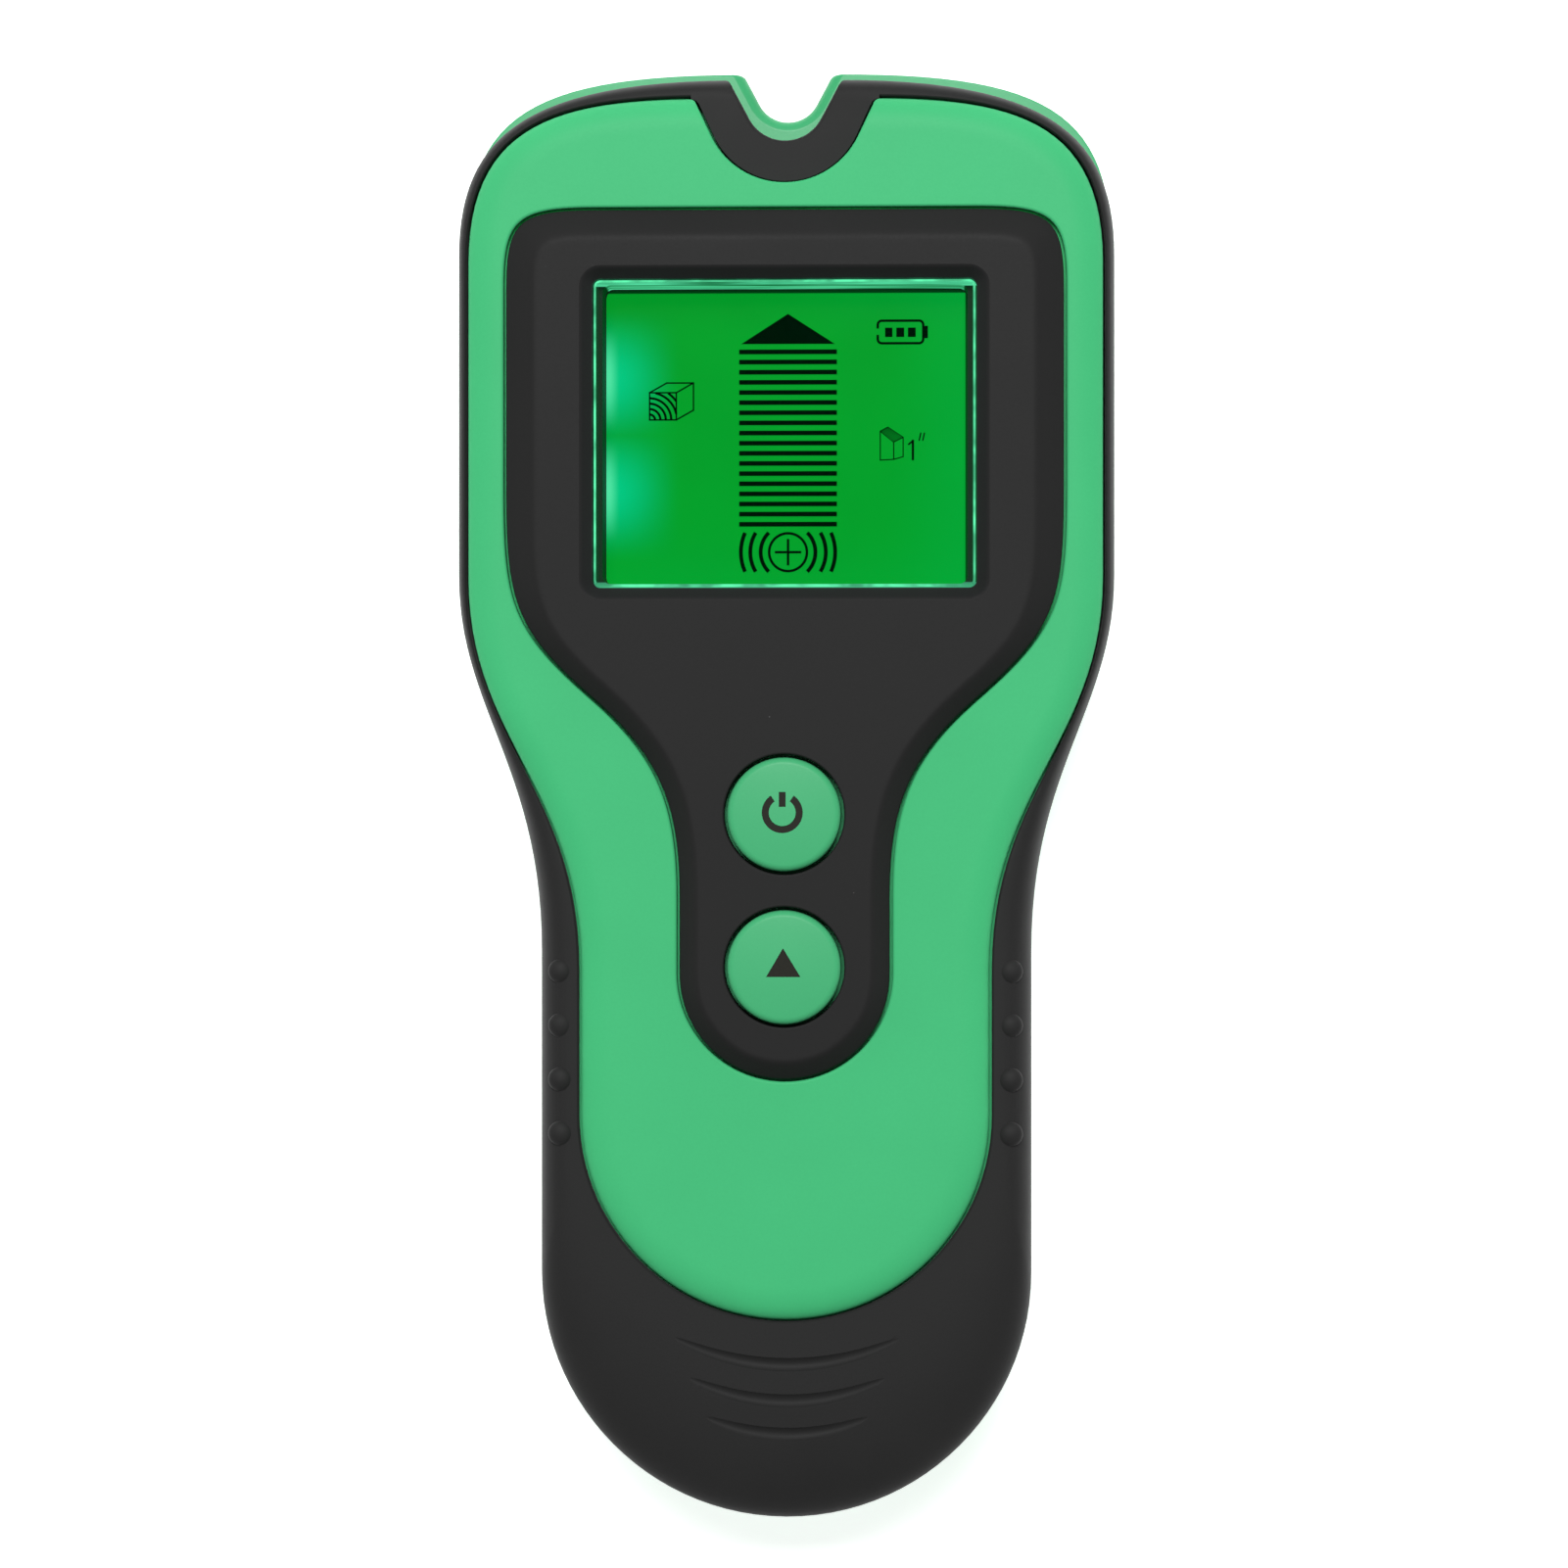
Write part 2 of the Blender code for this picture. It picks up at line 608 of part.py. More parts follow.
def make_front_housing(material):
    """The green front shell: the visible panel, its side walls, posts and bosses."""
    lining = JACKET + GAP
    front = solid("front_housing", lofted([
        (PARTING + GAP, JACKET_LINE.inset(lining).points()),
        *shoulder_levels(lining, PANEL_LINE.inset(0.05 * MM), lining),
        (RIM_FACE, PANEL_LINE.points()),
        (RIM_FACE + 0.55 * PANEL_DOME, PANEL_LINE.inset(0.7 * MM).points()),
        (RIM_FACE + 0.87 * PANEL_DOME, PANEL_LINE.inset(1.8 * MM).points()),
        (PANEL_FACE, PANEL_LINE.inset(3.4 * MM).points()),
    ]), material)
    hollow = solid("hollow", lofted([
        (0.0, JACKET_LINE.inset(lining + SIDE_WALL).points()),
        *shoulder_levels(lining + SIDE_WALL, PANEL_LINE.inset(WALL), lining + SKIN),
        (CEILING - 0.6 * MM, PANEL_LINE.inset(WALL + 0.2 * MM).points()),
        (CEILING, PANEL_LINE.inset(WALL + 1.6 * MM).points()),
    ]))
    lined = NOTCH_FRONT_RADIUS + JACKET + GAP
    cut(hollow, prism(notch_points(lined + WALL, NOTCH_FRONT_CENTRE, NOTCH_FLANK), 0.0, DEPTH))
    cut(hollow, prism(notch_points(
        SURROUND_RADIUS + WALL, SURROUND_CENTRE, SURROUND_FLANK), LEDGE - WALL, DEPTH))
    for x, y in CASE_SCREWS:
        cut(hollow, rod(x, y, CASE_SCREW_RADIUS + GAP + BOSS_WALL - 0.3 * MM, PARTING + GAP, DEPTH))
    for x, y in BOARD_SCREWS:
        cut(hollow, rod(x, y, BOARD_POST_RADIUS, BOARD_TOP + GAP, DEPTH, 16))
    cut(front, hollow)
    for x, y in BOARD_SCREWS:
        join(front, rod(x, y, BOARD_POST_RADIUS, BOARD_TOP + GAP, PARTING + 2 * OVERRUN, 16))
    cut(front, prism(notch_points(lined, NOTCH_FRONT_CENTRE, NOTCH_FLANK), 0.0, DEPTH))
    cut(front, prism(notch_points(
        SURROUND_RADIUS + GAP / 2, SURROUND_CENTRE, SURROUND_FLANK), LEDGE, DEPTH))
    cut(front, prism(BEZEL_LINE.inset(-GAP).points(), BEZEL_UNDER - GAP, DEPTH))
    cut(front, prism(BEZEL_LINE.inset(BEZEL_FLANGE).points(), CEILING - GAP, DEPTH))
    for x, y in CASE_SCREWS:
        depth = CASE_SCREW_SEAT + CASE_SCREW_LENGTH + OVERRUN
        cut(front, rod(x, y, CASE_SCREW_RADIUS + GAP, PARTING - OVERRUN, depth, 12))
    for x, y in BOARD_SCREWS:
        cut(front, rod(x, y, BOARD_SCREW_RADIUS + GAP, PARTING - 2 * OVERRUN, BOARD_SCREW_TIP + GAP, 12))
    return front


def make_grip_jacket(material):
    """The black soft jacket round the sides, the rim, the notch and the heel."""
    jacket = solid("grip_jacket", lofted([
        (PARTING + GAP, JACKET_LINE.points()),
        *shoulder_levels(0.0, PANEL_LINE, 0.0),
    ]), material)
    wide_panel = PANEL_LINE.inset(-GAP)
    hollow = solid("hollow", lofted([
        (0.0, JACKET_LINE.inset(JACKET).points()),
        *shoulder_levels(JACKET, wide_panel, JACKET),
        (DEPTH, wide_panel.points()),
    ]))
    cut(hollow, prism(notch_points(
        NOTCH_FRONT_RADIUS + JACKET, NOTCH_FRONT_CENTRE, NOTCH_FLANK), -OVERRUN, 2 * DEPTH))
    cut(hollow, prism(notch_points(
        SURROUND_RADIUS - GAP / 2, SURROUND_CENTRE, SURROUND_FLANK), LEDGE + GAP, 2 * DEPTH))
    cut(jacket, hollow)
    cut(jacket, prism(notch_points(
        NOTCH_FRONT_RADIUS, NOTCH_FRONT_CENTRE, NOTCH_FLANK, NOTCH_LIP_ROUND, DATUM - JACKET_SETBACK),
        -OVERRUN, 2 * DEPTH))
    return jacket


def window(width, height, low, high, grow=0.0, corner=WINDOW_CORNER):
    """A rounded rectangular prism about the display's centre."""
    size = (width + 2 * grow, height + 2 * grow)
    return prism(rounded_rectangle(0.0, WINDOW_Y, *size, corner + grow, 3), low, high)


def make_center_bezel(material):
    """The black bezel: sloped plateau, window with its light tunnel, and two button holes."""
    line = BEZEL_LINE
    inner = line.inset(BEZEL_SLOPE_HEAD, BEZEL_SLOPE_NECK).points()
    brow = line.inset(BEZEL_SLOPE_HEAD * 0.8, BEZEL_SLOPE_NECK * 0.8).points()
    bezel = solid("center_bezel", lofted([
        (BEZEL_UNDER, line.points()),
        (PANEL_FACE + 0.1 * MM, line.points()),
        (PANEL_FACE + 0.4 * MM, line.inset(0.4 * MM).points()),
        (BEZEL_FACE - 0.2 * MM, brow),
        (BEZEL_FACE, inner),
    ]), material)
    join(bezel, window(WINDOW_WIDTH, WINDOW_HEIGHT, TUNNEL_FOOT, PANEL_FACE, TUNNEL_WALL))
    cut(bezel, lofted([
        (LENS_TOP, rounded_rectangle(0, WINDOW_Y, WINDOW_WIDTH, WINDOW_HEIGHT, WINDOW_CORNER, 3)),
        (BEZEL_FACE + OVERRUN, rounded_rectangle(
            0, WINDOW_Y, WINDOW_WIDTH + 2 * (WINDOW_CHAMFER + OVERRUN),
            WINDOW_HEIGHT + 2 * (WINDOW_CHAMFER + OVERRUN), WINDOW_CORNER + WINDOW_CHAMFER, 3)),
    ]))
    cut(bezel, window(WINDOW_WIDTH, WINDOW_HEIGHT, LENS_TOP - LENS_THICK - GAP, LENS_TOP + GAP))
    cut(bezel, window(VIEW_WIDTH, VIEW_HEIGHT, 0.0, DEPTH))
    for y in (POWER_Y, MODE_Y):
        cut(bezel, rod(0.0, y, BUTTON_HOLE, 0.0, 2 * DEPTH, 32))
    return bezel


def make_display(materials):
    """Lens, gasket, glass, light guide, its lamps, carrier and elastomer connector."""
    black, clear, glass, guide, lamp, rubber = materials
    solid("display_lens", window(
        WINDOW_WIDTH, WINDOW_HEIGHT, LENS_TOP - LENS_THICK, LENS_TOP, -GAP), clear)
    gasket = solid("display_gasket", window(
        WINDOW_WIDTH, WINDOW_HEIGHT, GASKET_Z, GASKET_Z + GASKET_THICK, GLASS_MARGIN - GAP), rubber)
    cut(gasket, window(VIEW_WIDTH, VIEW_HEIGHT, 0.0, DEPTH))
    solid("lcd_glass", window(GLASS_WIDTH, GLASS_HEIGHT, GLASS_Z, GLASS_TOP, 0.0, 0.5 * MM), glass)
    left = -GLASS_WIDTH / 2
    bottom = WINDOW_Y - GLASS_HEIGHT / 2
    solid("light_guide", block(
        left + LED_WIDTH + 2 * GAP, -left - GAP, bottom + ZEBRA_WIDTH + 2 * GAP,
        bottom + GLASS_HEIGHT - GAP, GUIDE_Z, GUIDE_Z + GUIDE_THICK), guide)
    for name, side in (("backlight_led_lower", -1), ("backlight_led_upper", 1)):
        y = WINDOW_Y + side * LED_SPREAD
        solid(name, block(
            left + GAP, left + GAP + LED_WIDTH, y - LED_LENGTH / 2, y + LED_LENGTH / 2,
            BOARD_TOP + GAP, GUIDE_Z + 0.7 * GUIDE_THICK), lamp)
    solid("lcd_connector", block(
        0.8 * left, -0.8 * left, bottom + GAP, bottom + GAP + ZEBRA_WIDTH,
        BOARD_TOP + GAP, GUIDE_Z + GUIDE_THICK), rubber)
    carrier = solid("lcd_carrier", window(
        GLASS_WIDTH, GLASS_HEIGHT, BOARD_TOP + GAP, GLASS_TOP, GAP + CARRIER_WALL), black)
    cut(carrier, window(GLASS_WIDTH, GLASS_HEIGHT, 0.0, DEPTH, GAP, 0.6 * MM))


def board_outline():
    """Outline of the main circuit board: wide under the display, narrow under the buttons."""
    right = [
        (BOARD_HALF - BOARD_CORNER, BOARD_END),
        (BOARD_HALF, BOARD_END - BOARD_CORNER),
        (BOARD_HALF, WAIST_TOP - 14.0 * MM),
        (HANDLE_WIDTH / 2 - BOARD_WAIST_MARGIN, DATUM - 76.0 * MM),
        (BOARD_TAIL, DATUM - 88.0 * MM),
        (BOARD_TAIL, BOARD_TAIL_END),
    ]
    return right + [(-x, y) for x, y in reversed(right)]


def make_electronics(materials):
    """The two circuit boards and what is soldered to them."""
    green, chip, copper, black, metal, coil_body = materials
    board = solid("main_board", prism(board_outline(), BOARD_BOTTOM, BOARD_TOP), green)
    for x, y in BOARD_SCREWS:
        cut(board, rod(x, y, BOARD_SCREW_RADIUS + GAP, 0.0, DEPTH, 12))
    under = BOARD_BOTTOM - GAP
    for name, x, half_x, half_y in (
        ("controller_chip", 0.0, CONTROLLER_HALF, CONTROLLER_HALF),
        ("amplifier_chip", AMPLIFIER_X, *AMPLIFIER_HALF),
    ):
        outline = (x - half_x, x + half_x, CHIPS_Y - half_y, CHIPS_Y + half_y)
        solid(name, block(*outline, under - CHIP_HEIGHT, under), chip)
    sensor_z = WALL + GAP
    sensor_top = sensor_z + SENSOR_BOARD_THICK
    solid("sensing_board", block(
        -SENSOR_HALF, SENSOR_HALF, SENSOR_FOOT, SENSOR_TOP, sensor_z, sensor_top), green)
    foil_z = sensor_top + GAP
    for name, x, half in (
        ("electrode_left", -0.7 * SENSOR_HALF, ELECTRODE_HALF),
        ("electrode_center", 0.0, ELECTRODE_CENTRE_HALF),
        ("electrode_right", 0.7 * SENSOR_HALF, ELECTRODE_HALF),
    ):
        outline = (x - half, x + half, ELECTRODE_FOOT, ELECTRODE_TOP)
        solid(name, block(*outline, foil_z, foil_z + FOIL_THICK), copper)
    coil_z = foil_z + FOIL_THICK + GAP
    header_y = SENSOR_FOOT + OVERRUN
    solid("sensor_header", block(
        -HEADER_HALF, HEADER_HALF, header_y, header_y + HEADER_WIDTH, sensor_top + GAP, under), black)
    buzzer_y = POWER_Y - 4 * MM
    solid("buzzer", rod(0.0, buzzer_y, BUZZER_RADIUS, coil_z, under), black)
    solid("supply_capacitor", rod(
        BUZZER_RADIUS + CAPACITOR_RADIUS + CAPACITOR_SPACE, POWER_Y - OVERRUN,
        CAPACITOR_RADIUS, under - CAPACITOR_HEIGHT, under, 16), metal)
    make_coil(coil_z, coil_body, copper)


def turned(x, y, profile, steps=30):
    """A ring turned about an upright axis from a closed profile of (radius, height) points."""
    bm = bmesh.new()
    verts = [bm.verts.new((r, 0.0, z)) for r, z in profile]
    edges = [bm.edges.new((a, b)) for a, b in zip(verts, verts[1:] + verts[:1])]
    bmesh.ops.spin(
        bm, geom=verts + edges, axis=(0, 0, 1), cent=(0, 0, 0), dvec=(0, 0, 0),
        angle=2 * math.pi, steps=steps, use_merge=True, use_duplicate=False)
    bmesh.ops.remove_doubles(bm, verts=bm.verts, dist=1e-6)
    bmesh.ops.recalc_face_normals(bm, faces=bm.faces)
    bmesh.ops.translate(bm, vec=(x, y, 0.0), verts=bm.verts)
    return bm


def make_coil(foot, body_material, wire_material):
    """The search coil: a bobbin with an open groove, and the winding that lies in it."""
    top = foot + COIL_HEIGHT
    groove = COIL_INNER + COIL_TUBE
    solid("coil_former", turned(0.0, COIL_Y, [
        (COIL_INNER, foot), (COIL_OUTER, foot), (COIL_OUTER, foot + COIL_FLANGE),
        (groove, foot + COIL_FLANGE), (groove, top - COIL_FLANGE),
        (COIL_OUTER, top - COIL_FLANGE), (COIL_OUTER, top), (COIL_INNER, top),
    ]), body_material)
    low, high = foot + COIL_FLANGE + GAP, top - COIL_FLANGE - GAP
    solid("search_coil", turned(0.0, COIL_Y, [
        (groove + GAP, low), (COIL_OUTER - COIL_SLACK, low),
        (COIL_OUTER - COIL_SLACK, high), (groove + GAP, high),
    ]), wire_material)


def make_button(name, y, cap_material, switch_material, stem_material):
    """A round button, its switch and the switch's plunger; returns the moving empty."""
    radius = BUTTON_DIAMETER / 2
    stem_y = y + STEM_OFFSET
    flange_top = BEZEL_UNDER - GAP
    flange_foot = flange_top - BUTTON_FLANGE_THICK
    switch_z = BOARD_TOP + GAP
    switch_top = switch_z + SWITCH_HEIGHT
    plunger_top = switch_top + PLUNGER_PROUD
    crown = DEPTH - 0.45 * MM
    cap = solid(f"{name}_button", lofted([
        (flange_foot, circle_points(0.0, y, radius + BUTTON_FLANGE, 32)),
        (flange_top, circle_points(0.0, y, radius + BUTTON_FLANGE, 32)),
        (flange_top + 0.05 * MM, circle_points(0.0, y, radius, 32)),
        (crown, circle_points(0.0, y, radius, 32)),
        (DEPTH - 0.12 * MM, circle_points(0.0, y, radius - 0.5 * MM, 32)),
        (DEPTH, circle_points(0.0, y, radius - 2.0 * MM, 32)),
    ]), cap_material)
    join(cap, rod(0.0, stem_y, STEM_DIAMETER / 2, plunger_top + GAP, flange_top, 16))
    plunger_foot = switch_top - PLUNGER_DEPTH
    plunger = solid(f"{name}_switch_plunger", rod(
        0.0, stem_y, PLUNGER_DIAMETER / 2, plunger_foot, plunger_top, 16), stem_material)
    half = SWITCH_SIZE / 2
    switch = solid(f"{name}_switch", block(
        -half, half, stem_y - half, stem_y + half, switch_z, switch_top), switch_material)
    cut(switch, rod(
        0.0, stem_y, PLUNGER_DIAMETER / 2 + GAP, plunger_foot - BUTTON_TRAVEL - GAP, DEPTH, 16))
    carry(frame_at(f"{name}_axis", 0.0, y, DEPTH), cap, plunger)


def make_battery(materials):
    """The nine-volt cell, its snap connector and the two leads."""
    case_material, metal, black, red = materials
    low = BATTERY_Z
    outline = rounded_rectangle(0.0, low + BATTERY_DEPTH / 2, BATTERY_WIDTH, BATTERY_DEPTH, BATTERY_CORNER, 3)
    cell = solid("battery_cell", prism(outline, BATTERY_FOOT, BATTERY_HEAD), case_material)
    cell.data.transform(Matrix(((1, 0, 0, 0), (0, 0, 1, 0), (0, 1, 0, 0), (0, 0, 0, 1))))
    cell.data.flip_normals()
    middle = low + BATTERY_DEPTH / 2
    lie_down = Matrix(((1, 0, 0, 0), (0, 0, 1, 0), (0, -1, 0, 2 * middle), (0, 0, 0, 1)))
    foot, tip = BATTERY_HEAD + GAP / 2, BATTERY_HEAD + TERMINAL_HEIGHT
    snap = solid("battery_snap", block(
        -SNAP_WIDTH / 2, SNAP_WIDTH / 2, SNAP_FOOT, SNAP_FOOT + SNAP_THICK,
        middle - SNAP_DEPTH / 2, middle + SNAP_DEPTH / 2), black)
    for name, side, steps in (("battery_terminal_positive", -1, 24), ("battery_terminal_negative", 1, 6)):
        x = side * TERMINAL_SPREAD
        post = solid(name, rod(x, middle, TERMINAL_RADIUS, foot, tip, steps), metal)
        post.data.transform(lie_down)
        pocket = solid("pocket", rod(x, middle, TERMINAL_RADIUS + GAP, foot - OVERRUN, tip + GAP, 24))
        pocket.data.transform(lie_down)
        cut(snap, pocket)
    snap_top = middle + SNAP_DEPTH / 2
    for name, side, material in (("lead_red", -1, red), ("lead_black", 1, black)):
        make_lead(name, side, snap_top + GAP, material)


def make_lead(name, side, start_z, material):
    """A lead from the top of the snap connector, over the bay's wall, to the main board."""
    start_y = SNAP_FOOT + SNAP_THICK / 2
    over_z = BAY_TOP - GAP - LEAD_DIAMETER / 2 - 0.1 * MM
    end_y = BAY_HEAD + LEAD_REACH
    end_z = BOARD_TOP + GAP
    route = [
        (LEAD_X, start_y, start_z),
        (LEAD_X, start_y + 0.15 * MM, (start_z + over_z) / 2),
        (LEAD_X, BAY_HEAD - 0.9 * MM, over_z - 0.1 * MM),
        (LEAD_X, BAY_HEAD + 0.5 * MM, over_z),
        (LEAD_X, BAY_HEAD + 2.3 * MM, over_z - 0.5 * MM),
        (LEAD_X, BAY_HEAD + 3.9 * MM, (over_z + end_z) / 2 + 0.9 * MM),
        (LEAD_X, end_y, (over_z + end_z) / 2 - 1.1 * MM),
        (LEAD_X, end_y, end_z),
    ]
    curve = bpy.data.curves.new(name, "CURVE")
    curve.dimensions = "3D"
    curve.bevel_depth = LEAD_DIAMETER / 2
    curve.bevel_resolution = 2
    curve.use_fill_caps = True
    points = smooth_route([Vector((side * x, y, z)) for x, y, z in route], 2)
    spline = curve.splines.new("POLY")
    spline.points.add(len(points) - 1)
    for point, place in zip(spline.points, points):
        point.co = (*place, 1.0)
    curve.materials.append(material)
    lead = bpy.data.objects.new(name, curve)
    bpy.context.scene.collection.objects.link(lead)


def smooth_route(points, steps):
    """Points on one smooth curve through the given ones."""
    ends = [2 * points[0] - points[1], *points, 2 * points[-1] - points[-2]]
    route = []
    for a, b, c, d in zip(ends, ends[1:], ends[2:], ends[3:]):
        for i in range(steps):
            t = i / steps
            route.append(0.5 * (
                2 * b + (c - a) * t + (2 * a - 5 * b + 4 * c - d) * t * t
                + (3 * b - a - 3 * c + d) * t**3))
    return route + [points[-1]]


def make_battery_door(material):
    """The battery door, with its ribs and thumb grooves."""
    high = DOOR_RECESS + DOOR_THICK
    door = solid("battery_door", door_plate(0.0, DOOR_RECESS, high), material)
    join(door, *door_ribs(0.0, high - 0.3 * MM, high + DOOR_RIB))
    for i in range(THUMB_GROOVES):
        y = DOOR_HEAD - DOOR_CORNER - i * THUMB_GROOVE_PITCH
        length = 2 * (THUMB_GROOVE_HALF - i * THUMB_GROOVE_TAPER)
        groove = rounded_rectangle(0.0, y, length, THUMB_GROOVE_WIDTH, 0.45 * THUMB_GROOVE_WIDTH, 2)
        cut(door, prism(groove, -OVERRUN, DOOR_RECESS + THUMB_GROOVE_DEPTH))
    carry(frame_at("battery_door_axis", 0.0, (DOOR_FOOT + DOOR_HEAD) / 2, DOOR_RECESS), door)


def make_screw(name, x, y, head_z, head_radius, radius, tip_z, material):
    """A pan-head screw that points up, with a cross recess in its head."""
    neck = head_z + SCREW_HEAD_THICK
    screw = solid(name, lofted([
        (head_z, circle_points(x, y, head_radius * 0.8, 12)),
        (head_z + SCREW_HEAD_EDGE, circle_points(x, y, head_radius, 12)),
        (neck, circle_points(x, y, head_radius, 12)),
        (neck, circle_points(x, y, radius, 12)),
        (tip_z - radius, circle_points(x, y, radius, 12)),
        (tip_z, circle_points(x, y, radius * 0.3, 12)),
    ]), material)
    arm, half = head_radius * 0.55, head_radius * 0.11
    foot, top = head_z - OVERRUN, head_z + SCREW_CROSS_DEPTH
    cross = solid("cross", block(x - arm, x + arm, y - half, y + half, foot, top))
    join(cross, block(x - half, x + half, y - arm, y + arm, foot, top))
    cut(screw, cross)


def make_screws(material):
    """Four case screws from the back and four board screws under the main board."""
    for i, (x, y) in enumerate(CASE_SCREWS):
        head = CASE_SCREW_SEAT - GAP - SCREW_HEAD_THICK
        tip = CASE_SCREW_SEAT + CASE_SCREW_LENGTH
        make_screw(f"case_screw_{i + 1}", x, y, head, CASE_SCREW_HEAD, CASE_SCREW_RADIUS, tip, material)
    for i, (x, y) in enumerate(BOARD_SCREWS):
        head = BOARD_BOTTOM - GAP - SCREW_HEAD_THICK
        radii = (BOARD_SCREW_HEAD, BOARD_SCREW_RADIUS)
        make_screw(f"board_screw_{i + 1}", x, y, head, *radii, BOARD_SCREW_TIP, material)


def main():
    """Clears the scene and models every piece."""
    for old in list(bpy.data.objects):
        bpy.data.objects.remove(old, do_unlink=True)
    green = finish("green_abs", (0.08, 0.55, 0.23), 0.42)
    black = finish("black_abs", (0.032, 0.032, 0.032), 0.5)
    rubber = finish("black_rubber", (0.035, 0.035, 0.034), 0.7)
    clear = finish("clear_acrylic", (0.9, 0.95, 0.92), 0.05, alpha=0.3)
    glass = finish("lcd_green", (0.0, 0.35, 0.03), 0.15)
    guide = finish("light_guide", (0.85, 0.9, 0.86), 0.35)
    lamp = finish("led", (0.9, 0.95, 0.8), 0.3)
    board = finish("circuit_board", (0.02, 0.16, 0.06), 0.45)
    chip = finish("chip", (0.02, 0.02, 0.02), 0.4)
    copper = finish("copper", (0.72, 0.36, 0.2), 0.3, metallic=1.0)
    steel = finish("steel", (0.6, 0.6, 0.6), 0.3, metallic=1.0)
    white = finish("white_nylon", (0.8, 0.8, 0.76), 0.5)
    foam = finish("foam", (0.05, 0.05, 0.05), 0.95)
    wrap = finish("battery_wrap", (0.05, 0.05, 0.06), 0.35)
    red = finish("red_pvc", (0.6, 0.02, 0.02), 0.45)
    paper = finish("label", (0.75, 0.76, 0.76), 0.5)

    make_rear_housing(green)
    make_front_housing(green)
    make_grip_jacket(rubber)
    make_center_bezel(black)
    make_display((black, clear, glass, guide, lamp, foam))
    make_electronics((board, chip, copper, black, steel, white))
    for name, y in (("power", POWER_Y), ("mode", MODE_Y)):
        make_button(name, y, green, black, white)
    make_battery((wrap, steel, black, red))
    make_battery_door(green)
    make_screws(steel)
    label = rounded_rectangle(0.0, COIL_Y, LABEL_WIDTH, LABEL_HEIGHT, LABEL_CORNER)
    solid("rating_label", prism(label, LABEL_FOOT, LABEL_FOOT + LABEL_THICK), paper)


main()
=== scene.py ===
"""A handheld stud finder, dressed over its solid model.

Every visible shell, the display, the buttons and the screws get a fine surface of their own,
and every piece gets a procedural finish. Metres, +Z out of the display, +Y to the notch.
"""

from __future__ import annotations

import logging
import math
from abc import ABC, abstractmethod
from collections.abc import Callable, Sequence
from dataclasses import dataclass, replace
from enum import Enum

import bmesh
import bpy
from mathutils import Matrix, Vector


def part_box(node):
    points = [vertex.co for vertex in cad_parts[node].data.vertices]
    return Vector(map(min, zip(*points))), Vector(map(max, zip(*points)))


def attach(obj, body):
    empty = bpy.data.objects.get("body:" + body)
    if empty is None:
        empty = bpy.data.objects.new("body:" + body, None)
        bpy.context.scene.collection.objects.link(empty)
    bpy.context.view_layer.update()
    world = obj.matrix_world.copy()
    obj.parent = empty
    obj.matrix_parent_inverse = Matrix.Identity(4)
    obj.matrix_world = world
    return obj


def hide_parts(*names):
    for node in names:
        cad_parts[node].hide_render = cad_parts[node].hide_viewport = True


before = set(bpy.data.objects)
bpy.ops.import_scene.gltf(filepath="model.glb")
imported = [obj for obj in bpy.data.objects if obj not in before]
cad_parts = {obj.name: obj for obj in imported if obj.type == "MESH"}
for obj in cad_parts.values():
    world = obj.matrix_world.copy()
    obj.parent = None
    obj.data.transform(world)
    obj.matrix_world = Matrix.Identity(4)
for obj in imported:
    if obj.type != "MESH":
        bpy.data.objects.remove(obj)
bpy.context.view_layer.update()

MM = 0.001
GAP = 0.3 * MM
CURVE_STEPS = 26
ARC_STEPS = 14
ROUND_STEPS = 72
QUARTER = 4 / 3 * math.tan(math.pi / 8)
SHARP = math.radians(38)

Plan = list[tuple[float, float]]
Ring = list[tuple[float, float, float]]
Colour = tuple[float, float, float]
Height = Callable[[float, float], float]

log = logging.getLogger("stud_finder")


# --------------------------------------------------------------------------- outlines


@dataclass(frozen=True)
class Knot:
    """A point of an outline, with its heading in degrees and the reach of its curves."""

    x: float
    y: float
    heading: float
    before: float = 0.0
    after: float = 0.0

    def direction(self) -> Vector:
        """Unit vector along the outline at this knot."""
        angle = math.radians(self.heading)
        return Vector((math.cos(angle), math.sin(angle)))

    def moved_in(self, distance: float) -> Knot:
        """The knot moved to the inner side of the outline."""
        along = self.direction()
        return replace(self, x=self.x + along.y * distance, y=self.y - along.x * distance)

    def distance(self, other: Knot) -> float:
        """Straight distance to another knot."""
        return math.hypot(other.x - self.x, other.y - self.y)

    def curve_to(self, other: Knot) -> Plan:
        """Points from this knot up to, and without, the next one.

        Args:
            other: The next knot.

        Returns:
            One point on a straight run, and CURVE_STEPS points on a bend.
        """
        if not self.after:
            return [(self.x, self.y)]
        p0, p3 = Vector((self.x, self.y)), Vector((other.x, other.y))
        p1, p2 = p0 + self.direction() * self.after, p3 - other.direction() * other.before
        points = []
        for i in range(CURVE_STEPS):
            t = i / CURVE_STEPS
            s = 1 - t
            points.append(tuple(s**3 * p0 + 3 * s * s * t * p1 + 3 * s * t * t * p2 + t**3 * p3))
        return points


